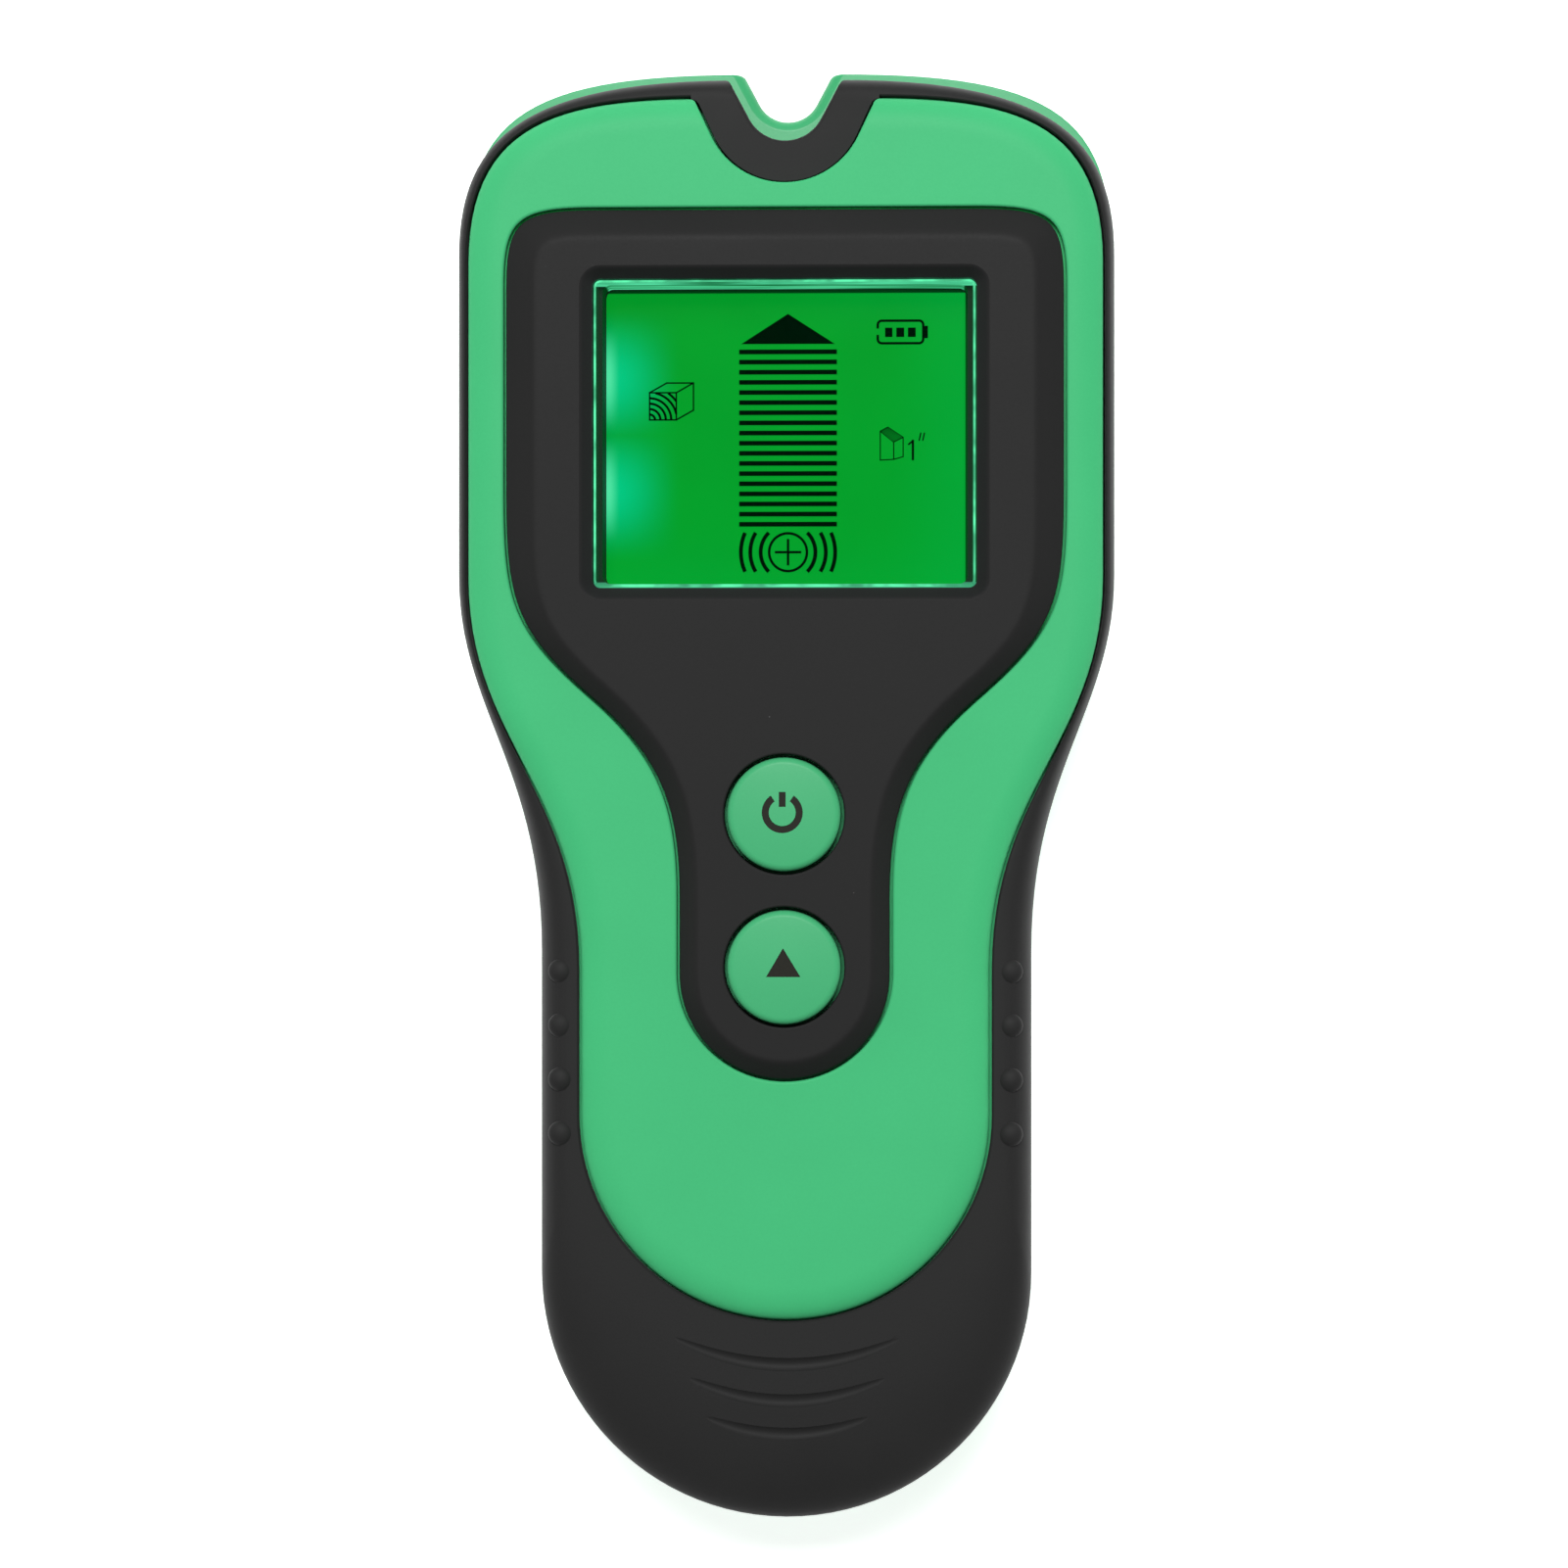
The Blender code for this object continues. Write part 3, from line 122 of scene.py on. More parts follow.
@dataclass(frozen=True)
class Outline:
    """The right-hand side of a symmetric outline, from its top edge down to its lowest point."""

    knots: tuple[Knot, ...]

    def inset(self, distance: float, neck: float | None = None) -> Outline:
        """The same outline moved inwards.

        Args:
            distance: How far the head moves in; negative moves it out.
            neck: How far the knots below the waist move in, if that differs.

        Returns:
            The new outline.
        """
        lower = distance if neck is None else neck
        half = len(self.knots) // 2
        moved = [k.moved_in(distance if i < half else lower) for i, k in enumerate(self.knots)]
        moved[-1] = replace(moved[-1], x=0.0)
        for i in range(len(moved) - 1):
            ratio = moved[i].distance(moved[i + 1]) / self.knots[i].distance(self.knots[i + 1])
            moved[i] = replace(moved[i], after=moved[i].after * ratio)
            moved[i + 1] = replace(moved[i + 1], before=moved[i + 1].before * ratio)
        return Outline(tuple(moved))

    def points(self) -> Plan:
        """All points of the closed outline, down the right side and up the left."""
        right: Plan = []
        for a, b in zip(self.knots, self.knots[1:]):
            right += a.curve_to(b)
        left = [(-x, y) for x, y in reversed(right)]
        return right + [(0.0, self.knots[-1].y)] + left


def mixed(first: Plan, second: Plan, share: float) -> Plan:
    """Points part of the way from one outline's points to another's."""
    return [(a[0] + (b[0] - a[0]) * share, a[1] + (b[1] - a[1]) * share) for a, b in zip(first, second)]


def at(plan: Plan, z: float | Height) -> Ring:
    """A plan lifted to a height, or to a height that depends on the place."""
    return [(x, y, z(x, y) if callable(z) else z) for x, y in plan]


def rounded_rectangle(x: float, y: float, width: float, height: float, radius: float) -> Plan:
    """Points of a rectangle with round corners, about its centre."""
    steps = ARC_STEPS // 2
    points = []
    for turn, (sx, sy) in enumerate(((1, 1), (-1, 1), (-1, -1), (1, -1))):
        cx, cy = x + sx * (width / 2 - radius), y + sy * (height / 2 - radius)
        for i in range(steps + 1):
            angle = math.pi / 2 * (turn + i / steps)
            points.append((cx + radius * math.cos(angle), cy + radius * math.sin(angle)))
    return points


def circle(x: float, y: float, radius: float, steps: int = ROUND_STEPS) -> Plan:
    """Points of a circle."""
    turns = (2 * math.pi * i / steps for i in range(steps))
    return [(x + radius * math.cos(a), y + radius * math.sin(a)) for a in turns]


def arc_band(x: float, y: float, radius: float, width: float, start: float, end: float) -> Plan:
    """Outline of a bent stroke.

    Args:
        x: Centre of the bend.
        y: Centre of the bend.
        radius: Middle radius of the stroke.
        width: Width of the stroke.
        start: First angle, in degrees.
        end: Last angle, in degrees.

    Returns:
        The closed outline's points.
    """
    steps = max(3, round(abs(end - start) / 6))
    turns = [math.radians(start + (end - start) * i / steps) for i in range(steps + 1)]
    outer = [(x + (radius + width / 2) * math.cos(a), y + (radius + width / 2) * math.sin(a)) for a in turns]
    inner = [(x + (radius - width / 2) * math.cos(a), y + (radius - width / 2) * math.sin(a)) for a in turns]
    return outer + inner[::-1]


# --------------------------------------------------------------------------- meshes


def lofted(rings: Sequence[Ring]) -> bmesh.types.BMesh:
    """A closed mesh through rings of equal length, extruded from the first to the last."""
    bm = bmesh.new()
    ring = [bm.verts.new(point) for point in rings[0]]
    edges = list(bm.faces.new(ring).edges)
    for points in rings[1:]:
        place = {tuple(v.co): i for i, v in enumerate(ring)}
        grown = bmesh.ops.extrude_edge_only(bm, edges=edges)["geom"]
        edges = [g for g in grown if isinstance(g, bmesh.types.BMEdge)]
        verts = [g for g in grown if isinstance(g, bmesh.types.BMVert)]
        ring = sorted(verts, key=lambda v: place[tuple(v.co)])
        for vert, point in zip(ring, points):
            vert.co = point
    bm.faces.new(ring)
    bmesh.ops.recalc_face_normals(bm, faces=bm.faces)
    return bm


def prism(plan: Plan, low: float, high: float) -> bmesh.types.BMesh:
    """A straight extrusion of a plan."""
    return lofted([at(plan, low), at(plan, high)])


def block(x0: float, x1: float, y0: float, y1: float, low: float, high: float) -> bmesh.types.BMesh:
    """A plain rectangular block, for cutting and for hidden walls."""
    return prism([(x0, y0), (x1, y0), (x1, y1), (x0, y1)], low, high)


def flared(
    plan: Callable[[float], Plan], low: float, top: float | Height, radius: float, high: float
) -> bmesh.types.BMesh:
    """A cutter that leaves a rounded edge where it comes out of a face.

    Args:
        plan: Gives the cut's plan, grown outwards by a distance.
        low: Where the cutter starts.
        top: Height of the face it comes out of, or its height at a place.
        radius: Radius of the rounded edge.
        high: Where the cutter ends.

    Returns:
        The cutter.
    """
    def height(drop: float) -> Height:
        return lambda x, y: (top(x, y) if callable(top) else top) - drop

    rings = [at(plan(0.0), low)]
    for degrees in (0, 16, 32, 48, 64, 80):
        angle = math.radians(degrees)
        grow = radius * (1 - math.cos(angle))
        rings.append(at(plan(grow), height(radius * (1 - math.sin(angle)))))
    run = 0.35 * radius
    grow = radius * (1 - math.cos(angle)) + run * math.sin(angle)
    rings.append(at(plan(grow), height(radius * (1 - math.sin(angle)) - run * math.cos(angle))))
    rings.append(at(plan(grow), high))
    return lofted(rings)


def turned(
    x: float, y: float, profile: Sequence[tuple[float, float]], steps: int = ROUND_STEPS
) -> bmesh.types.BMesh:
    """A body turned about an upright axis.

    Args:
        x: The axis's place.
        y: The axis's place.
        profile: Closed profile of (radius, height) points; points on the axis have radius 0.
        steps: Steps of the full turn.

    Returns:
        The turned mesh.
    """
    bm = bmesh.new()
    verts = [bm.verts.new((r, 0.0, z)) for r, z in profile]
    edges = [bm.edges.new(pair) for pair in zip(verts, verts[1:] + verts[:1])]
    bmesh.ops.spin(
        bm, geom=verts + edges, axis=(0, 0, 1), cent=(0, 0, 0), dvec=(0, 0, 0),
        angle=2 * math.pi, steps=steps, use_merge=True, use_duplicate=False)
    bmesh.ops.remove_doubles(bm, verts=bm.verts, dist=1e-7)
    loose = [e for e in bm.edges if not e.link_faces]
    bmesh.ops.delete(bm, geom=loose, context="EDGES")
    bmesh.ops.recalc_face_normals(bm, faces=bm.faces)
    bmesh.ops.translate(bm, vec=(x, y, 0.0), verts=bm.verts)
    return bm


def merged(parts: Sequence[bmesh.types.BMesh]) -> bmesh.types.BMesh:
    """Several meshes as one, each still closed by itself; the given ones are freed."""
    whole = bmesh.new()
    for part in parts:
        mesh = bpy.data.meshes.new("part")
        part.to_mesh(mesh)
        part.free()
        whole.from_mesh(mesh)
        bpy.data.meshes.remove(mesh)
    return whole


# --------------------------------------------------------------------------- shader graph


class Value:
    """A node's output that takes part in Python arithmetic."""

    def __init__(self, graph: Graph, socket: bpy.types.NodeSocket) -> None:
        """Wraps a socket of a graph."""
        self.graph = graph
        self.socket = socket

    def _math(self, operation: str, first: Operand, second: Operand | None = None) -> Value:
        """A Math node on one or two operands."""
        values = {0: first} if second is None else {0: first, 1: second}
        return self.graph.node("ShaderNodeMath", {"operation": operation}, values)

    def __add__(self, other: Operand) -> Value:
        """Sum."""
        return self._math("ADD", self, other)

    def __sub__(self, other: Operand) -> Value:
        """Difference."""
        return self._math("SUBTRACT", self, other)

    def __rsub__(self, other: Operand) -> Value:
        """Difference from a number."""
        return self._math("SUBTRACT", other, self)

    def __mul__(self, other: Operand) -> Value:
        """Product."""
        return self._math("MULTIPLY", self, other)

    def __truediv__(self, other: Operand) -> Value:
        """Quotient."""
        return self._math("DIVIDE", self, other)

    def __abs__(self) -> Value:
        """Absolute value."""
        return self._math("ABSOLUTE", self)

    def __gt__(self, other: Operand) -> Value:
        """1 where this is the larger, otherwise 0."""
        return self._math("GREATER_THAN", self, other)

    __radd__ = __add__
    __rmul__ = __mul__

    def larger(self, other: Operand) -> Value:
        """The larger of two."""
        return self._math("MAXIMUM", self, other)

    def ramp(self, low: float, high: float) -> Value:
        """0 below low, 1 above high and smooth between; high may be the smaller of the two."""
        settings = {"interpolation_type": "SMOOTHSTEP", "clamp": True}
        inputs = {"Value": self, "From Min": min(low, high), "From Max": max(low, high)}
        if high < low:
            inputs |= {"To Min": 1.0, "To Max": 0.0}
        return self.graph.node("ShaderNodeMapRange", settings, inputs)

    def bell(self, centre: float, width: float) -> Value:
        """1 at the centre, falling smoothly to 0 a width away."""
        return abs(self - centre).ramp(width, 0.0)


Operand = Value | float


class Graph:
    """A material with a Principled shader and the nodes that feed it."""

    def __init__(self, name: str) -> None:
        """Makes the material with its own output and shader."""
        self.material = bpy.data.materials.new(name)
        self.material.use_nodes = True
        self.tree = self.material.node_tree
        self.shader = self.tree.nodes["Principled BSDF"]

    def node(
        self, kind: str, settings: dict | None = None, inputs: dict | None = None, output: int | str = 0
    ) -> Value:
        """Makes any node.

        Args:
            kind: The node's type.
            settings: Its properties, set first; "stops" holds a ramp's (place, colour) pairs.
            inputs: Values or links by socket name or number.
            output: Which output to return.

        Returns:
            The node's output.
        """
        made = self.tree.nodes.new(kind)
        for key, value in (settings or {}).items():
            if key == "stops":
                for element, (place, colour) in zip(made.color_ramp.elements, value):
                    element.position, element.color = place, (*colour, 1.0)
            else:
                setattr(made, key, value)
        for key, value in (inputs or {}).items():
            self.feed(made.inputs[key], value)
        return Value(self, made.outputs[output])

    def feed(self, socket: bpy.types.NodeSocket, value: Operand | Colour) -> None:
        """Links or sets one input socket."""
        if isinstance(value, Value):
            self.tree.links.new(value.socket, socket)
        elif isinstance(value, tuple) and len(socket.default_value) == 4:
            socket.default_value = (*value, 1.0)
        else:
            socket.default_value = value

    def set(self, **sockets: Operand | Colour) -> None:
        """Feeds sockets of the Principled shader; an underscore stands for a space."""
        for name, value in sockets.items():
            self.feed(self.shader.inputs[name.replace("_", " ")], value)

    def place(self) -> Value:
        """Object coordinates."""
        return self.node("ShaderNodeTexCoord", output="Object")

    def axes(self) -> tuple[Value, Value, Value]:
        """The three object coordinates by themselves."""
        split = self.node("ShaderNodeSeparateXYZ", inputs={"Vector": self.place()})
        outputs = split.socket.node.outputs
        return tuple(Value(self, outputs[i]) for i in range(3))

    def noise(self, size: float, detail: float = 2.0, stretch: Colour | None = None) -> Value:
        """Noise from 0 to 1.

        Args:
            size: Size of its features, in metres.
            detail: Octaves of finer noise.
            stretch: Factors that lengthen it along each axis.

        Returns:
            The noise.
        """
        place = self.place()
        if stretch:
            place = self.node("ShaderNodeMapping", inputs={
                "Vector": place, "Scale": tuple(1 / s for s in stretch)})
        inputs = {"Vector": place, "Scale": 1 / size, "Detail": detail}
        return self.node("ShaderNodeTexNoise", inputs=inputs)

    def cells(self, size: float) -> Value:
        """Distance from the nearest of scattered points, in cells of a size in metres."""
        return self.node("ShaderNodeTexVoronoi", {"feature": "F1"}, {
            "Vector": self.place(), "Scale": 1 / size})

    def mix(self, share: Operand, first: Value | Colour, second: Value | Colour) -> Value:
        """A colour part of the way from the first to the second."""
        made = self.tree.nodes.new("ShaderNodeMix")
        made.data_type = "RGBA"
        for key, value in zip((0, 6, 7), (share, first, second)):
            self.feed(made.inputs[key], value)
        return Value(self, made.outputs[2])

    def bump(self, height: Value, depth: float) -> None:
        """Relief on the shader's normal, depth metres from 0 to 1 of the height."""
        self.set(Normal=self.node("ShaderNodeBump", inputs={
            "Strength": 1.0, "Distance": depth, "Height": height}))


def srgb(red: float, green: float, blue: float) -> Colour:
    """A linear colour from 8-bit display values."""
    def linear(channel: float) -> float:
        share = channel / 255
        return share / 12.92 if share <= 0.04045 else ((share + 0.055) / 1.055) ** 2.4

    return linear(red), linear(green), linear(blue)


def scaled(colour: Colour, factor: float) -> Colour:
    """A colour made lighter or darker."""
    return tuple(min(1.0, channel * factor) for channel in colour)


# --------------------------------------------------------------------------- finishes


MADE: dict[Finish, bpy.types.Material] = {}


@dataclass(frozen=True)
class Finish(ABC):
    """How a surface looks."""

    name: str

    @abstractmethod
    def paint(self, graph: Graph) -> None:
        """Adds this finish's nodes to a new material."""

    def material(self) -> bpy.types.Material:
        """The finish's material, made once."""
        if self not in MADE:
            graph = Graph(self.name + "_finish")
            self.paint(graph)
            MADE[self] = graph.material
        return MADE[self]


@dataclass(frozen=True)
class MouldedPlastic(Finish):
    """Injection-moulded plastic with a spark-eroded grain."""

    colour: Colour
    roughness: float = 0.45
    grain: float = 0.28 * MM
    relief: float = 0.006 * MM
    clouding: float = 0.05
    specular: float = 0.4
    specks: float = 0.0

    def paint(self, graph: Graph) -> None:
        """Cloudy colour, uneven gloss, fine grain and a few dust specks."""
        cloud = graph.noise(14 * MM, 3.0)
        fine = graph.noise(self.grain, 3.0)
        coarse = graph.noise(3.1 * self.grain, 1.0)
        darker, lighter = (scaled(self.colour, 1 + side * self.clouding) for side in (-1, 1))
        tone = graph.mix(cloud, darker, lighter)
        tone = graph.mix((fine - 0.5) * 0.22 + 0.08, tone, scaled(self.colour, 0.72))
        if self.specks:
            speck = graph.cells(5.5 * MM).ramp(0.022, 0.012)
            tone = graph.mix(speck * self.specks, tone, srgb(150, 150, 150))
        graph.set(
            Base_Color=tone, Roughness=(cloud - 0.5) * 0.1 + (fine - 0.5) * 0.12 + self.roughness,
            Specular_IOR_Level=self.specular)
        graph.bump(fine * 0.6 + coarse * 0.4, self.relief)


@dataclass(frozen=True)
class SoftRubber(Finish):
    """Overmoulded elastomer: matte, with a powdery sheen and a dense peened grain."""

    colour: Colour
    roughness: float = 0.62
    grain: float = 0.2 * MM
    relief: float = 0.008 * MM
    specular: float = 0.35

    def paint(self, graph: Graph) -> None:
        """Peened relief, worn-in gloss patches and a soft sheen."""
        patch = graph.noise(9 * MM, 4.0)
        fine = graph.noise(self.grain, 2.0)
        cells = graph.cells(self.grain / 0.6)
        tone = graph.mix(patch, scaled(self.colour, 0.93), scaled(self.colour, 1.08))
        tone = graph.mix((fine - 0.5) * 0.3 + 0.1, tone, scaled(self.colour, 0.6))
        graph.set(
            Base_Color=tone, Roughness=(patch - 0.5) * 0.14 + self.roughness,
            Specular_IOR_Level=self.specular, Sheen_Weight=0.06, Sheen_Roughness=0.5)
        graph.bump(fine * 0.5 + cells * 0.5, self.relief)


@dataclass(frozen=True)
class ClearAcrylic(Finish):
    """The polished display lens."""

    tint: Colour
    alpha: float

    def paint(self, graph: Graph) -> None:
        """Clear, glossy, with faint wipe marks in its gloss."""
        wipe = graph.noise(2.2 * MM, 3.0, (6.0, 1.0, 1.0))
        graph.set(
            Base_Color=self.tint, Roughness=wipe.ramp(0.55, 0.8) * 0.05 + 0.03,
            Alpha=self.alpha, IOR=1.49)


@dataclass(frozen=True)
class PaintedEdgeGlow(Finish):
    """Bevelled edge of the lens. Painted light: an emitted glow stands in for the backlight that leaks out of
    it.
    """

    colour: Colour
    strength: float

    def paint(self, graph: Graph) -> None:
        """Painted glow: an emitted bright line that swells and fades along the edge."""
        swell = graph.noise(3.0 * MM, 2.0)
        tone = graph.mix(swell.ramp(0.35, 0.68), scaled(self.colour, 0.28), self.colour)
        # Emission on the lens edge is painted light; the lens is no lamp.
        graph.set(
            Base_Color=scaled(self.colour, 0.3), Roughness=0.15, Emission_Color=tone,
            Emission_Strength=self.strength)


@dataclass(frozen=True)
class BacklitGlass(Finish):
    """Face of the liquid crystal panel with the backlight behind it."""

    middle: tuple[float, float]
    half: tuple[float, float]
    base: Colour
    corner: Colour
    glow: Colour
    core: Colour
    lamp_spread: float
    lamp_drop: float
    strength: float

    def paint(self, graph: Graph) -> None:
        """Even green with two bright lobes at the lamps, paler ends and a dark line right and above."""
        x, y, _ = graph.axes()
        u = x - self.middle[0]
        v = y - self.middle[1]
        left, right = -self.half[0], self.half[0]
        cloud = graph.noise(9 * MM, 2.0)
        tone = graph.mix(cloud.ramp(0.3, 0.7) * 0.35, self.base, scaled(self.base, 1.16))
        tone = graph.mix(v.ramp(-9 * MM, left) * 0.45, tone, self.corner)
        tone = graph.mix(u.ramp(10 * MM, right) * 0.55, tone, self.corner)
        tone = graph.mix(v.ramp(10 * MM, 17 * MM) * u.ramp(-6 * MM, 14 * MM) * 0.4, tone, self.corner)
        near = u.ramp(left + 8.5 * MM, left)
        tone = graph.mix(near * self.lobes(v, 8.2 * MM) * 0.9, tone, self.glow)
        hot = u.ramp(left + 1.5 * MM, left + 0.1 * MM)
        tone = graph.mix(hot * self.lobes(v, 6.0 * MM) * 0.95, tone, self.core)
        line = u.ramp(right - 0.3 * MM, right - 0.12 * MM).larger(
            v.ramp(self.half[1] - 0.38 * MM, self.half[1] - 0.2 * MM))
        tone = graph.mix(line * 0.93, tone, (0.0, 0.01, 0.003))
        graph.set(
            Base_Color=scaled(self.base, 0.15), Roughness=0.12, Emission_Color=tone,
            Emission_Strength=self.strength, Specular_IOR_Level=0.05)

    def lobes(self, height: Value, width: float) -> Value:
        """1 beside each of the two lamps, falling to 0 a width away."""
        upper, lower = (height.bell(side * self.lamp_spread - self.lamp_drop, width) for side in (1, -1))
        return upper.larger(lower)


@dataclass(frozen=True)
class PaintedTunnelReflection(Finish):
    """Black walls round the display, with the backlight that they catch painted on as emitted light."""

    middle: tuple[float, float]
    half: tuple[float, float]
    bright: Colour
    deep: Colour
    strength: float

    def paint(self, graph: Graph) -> None:
        """Painted reflection of the backlight: bright streaks on the upper wall, a dim band on the sides."""
        x, y, _ = graph.axes()
        u = x - self.middle[0]
        v = y - self.middle[1]
        streak = graph.noise(0.9 * MM, 3.0, (14.0, 1.0, 0.5))
        upper = v.ramp(self.half[1] - 0.25 * MM, self.half[1] - 0.1 * MM)
        foot = v.ramp(-self.half[1] + 0.25 * MM, -self.half[1] + 0.1 * MM)
        side = abs(u).ramp(self.half[0] + 0.3 * MM, self.half[0] + 0.8 * MM)
        tone = graph.mix(side * 0.6, scaled(self.deep, 0.12), self.deep)
        # Painted streaks of reflected backlight on the upper wall, and a paler painted line at the foot.
        streaks = graph.mix(streak.ramp(0.3, 0.72), scaled(self.deep, 1.1), self.bright)
        tone = graph.mix(upper, tone, streaks)
        tone = graph.mix(foot, tone, scaled(self.bright, 0.4))
        # The emitted tone is painted light on black walls that are no lamp.
        graph.set(
            Base_Color=(0.004, 0.012, 0.006), Roughness=0.5, Emission_Color=tone,
            Emission_Strength=self.strength, Specular_IOR_Level=0.06)


@dataclass(frozen=True)
class Ink(Finish):
    """Printed or two-shot marks, slightly uneven in tone."""

    colour: Colour
    roughness: float = 0.4
    specular: float = 0.3

    def paint(self, graph: Graph) -> None:
        """Nearly even dark ink."""
        fibre = graph.noise(0.35 * MM, 3.0)
        graph.set(
            Base_Color=graph.mix(fibre, scaled(self.colour, 0.8), scaled(self.colour, 1.2)),
            Roughness=(fibre - 0.5) * 0.15 + self.roughness, Specular_IOR_Level=self.specular)


@dataclass(frozen=True)
class Metal(Finish):
    """Plated or bare metal with fine brushed marks."""

    colour: Colour
    roughness: float = 0.3
    brush: tuple[float, float, float] = (1.0, 1.0, 8.0)

    def paint(self, graph: Graph) -> None:
        """Brushed relief and uneven gloss."""
        mark = graph.noise(0.12 * MM, 3.0, self.brush)
        stain = graph.noise(2.0 * MM, 2.0)
        graph.set(
            Base_Color=graph.mix(stain, scaled(self.colour, 0.82), self.colour), Metallic=1.0,
            Roughness=(mark - 0.5) * 0.25 + self.roughness)
        graph.bump(mark, 0.003 * MM)


@dataclass(frozen=True)
class Winding(Finish):
    """Enamelled copper wire, wound in close turns."""

    colour: Colour
    pitch: float = 0.22 * MM

    def paint(self, graph: Graph) -> None:
        """Turn after turn as rounded relief, with painted shade darkening the hollows between turns."""
        waves = graph.node("ShaderNodeTexWave", {"wave_type": "BANDS", "bands_direction": "Z"}, {
            "Vector": graph.place(), "Scale": 0.314 / self.pitch, "Distortion": 0.4})
        # The colour darkens with the relief's low bands: painted shade between the turns.
        graph.set(
            Base_Color=graph.mix(waves, scaled(self.colour, 0.45), self.colour), Metallic=0.85,
            Roughness=0.32)
        graph.bump(waves, 0.04 * MM)


@dataclass(frozen=True)
class CircuitBoard(Finish):
    """Green solder mask over etched tracks."""

    mask: Colour
    track: Colour

    def paint(self, graph: Graph) -> None:
        """Tracks as lighter stripes that step sideways, with tinned pads between them."""
        tracks = graph.node("ShaderNodeTexBrick", {"offset": 0.5, "squash": 1.0}, {
            "Vector": graph.place(), "Scale": 1 / (4 * MM), "Mortar Size": 0.05, "Mortar Smooth": 0.2}, "Fac")
        pads = graph.cells(3.2 * MM).ramp(0.2, 0.17)
        tone = graph.mix(tracks * 0.8, self.mask, self.track)
        tone = graph.mix(pads, tone, srgb(196, 190, 170))
        graph.set(Base_Color=tone, Roughness=0.42 - tracks * 0.1, Metallic=pads * 0.8)
        graph.bump(tracks * 0.6 + pads * 0.4, 0.03 * MM)


@dataclass(frozen=True)
class BatteryWrap(Finish):
    """Printed steel jacket of the battery: a dark body and a plain paler band."""

    foot: float
    head: float
    body: Colour
    band: Colour

    def paint(self, graph: Graph) -> None:
        """Two plain fields with a fine line between them, and rolled scuffs."""
        _, y, _ = graph.axes()
        edge = self.foot + 0.72 * (self.head - self.foot)
        scuff = graph.noise(0.6 * MM, 3.0, (1.0, 10.0, 1.0))
        tone = graph.mix(y.ramp(edge, edge + 0.1 * MM), self.body, self.band)
        tone = graph.mix(y.bell(edge, 0.5 * MM) * 0.8, tone, srgb(225, 225, 220))
        graph.set(
            Base_Color=graph.mix(scuff.ramp(0.6, 0.85) * 0.25, tone, srgb(150, 150, 150)), Metallic=0.35,
            Roughness=(scuff - 0.5) * 0.2 + 0.34)


@dataclass(frozen=True)
class PlainLabel(Finish):
    """Silvered rating label with a printed frame and two ruled fields, and no words."""

    middle: tuple[float, float]
    half: tuple[float, float]
    paper: Colour
    ink: Colour

    def paint(self, graph: Graph) -> None:
        """A frame line and two ruled lines on fine paper grain."""
        x, y, _ = graph.axes()
        u = abs(x - self.middle[0])
        v = y - self.middle[1]
        margin, line, ruling = 1.6 * MM, 0.16 * MM, 3.4 * MM
        side, end = self.half[0] - margin, self.half[1] - margin
        upright = u.bell(side, line) * abs(v).ramp(end + line, end)
        level = abs(v).bell(end, line) * u.ramp(side + line, side)
        ruled = v.bell(ruling, line).larger(v.bell(-ruling, line)) * u.ramp(side, side - line)
        grain = graph.noise(0.3 * MM, 3.0)
        tone = graph.mix(grain, scaled(self.paper, 0.93), self.paper)
        graph.set(
            Base_Color=graph.mix(upright.larger(level).larger(ruled), tone, self.ink),
            Roughness=(grain - 0.5) * 0.1 + 0.42, Metallic=0.2)


@dataclass(frozen=True)
class Foam(Finish):
    """Open-cell sponge or elastomer strip."""

    colour: Colour

    def paint(self, graph: Graph) -> None:
        """Small cells, darkest in their pits: painted shade in the pores."""
        cells = graph.cells(0.35 * MM)
        # The colour follows the pits of the relief: painted shade in the pores.
        graph.set(
            Base_Color=graph.mix(cells, scaled(self.colour, 0.4), scaled(self.colour, 1.5)), Roughness=0.95)
        graph.bump(cells, 0.08 * MM)


# --------------------------------------------------------------------------- pieces


class Body(Enum):
    """The bodies that pieces ride on."""

    CASE = "case"
    POWER = "power_button"
    MODE = "mode_button"
    DOOR = "battery_door"


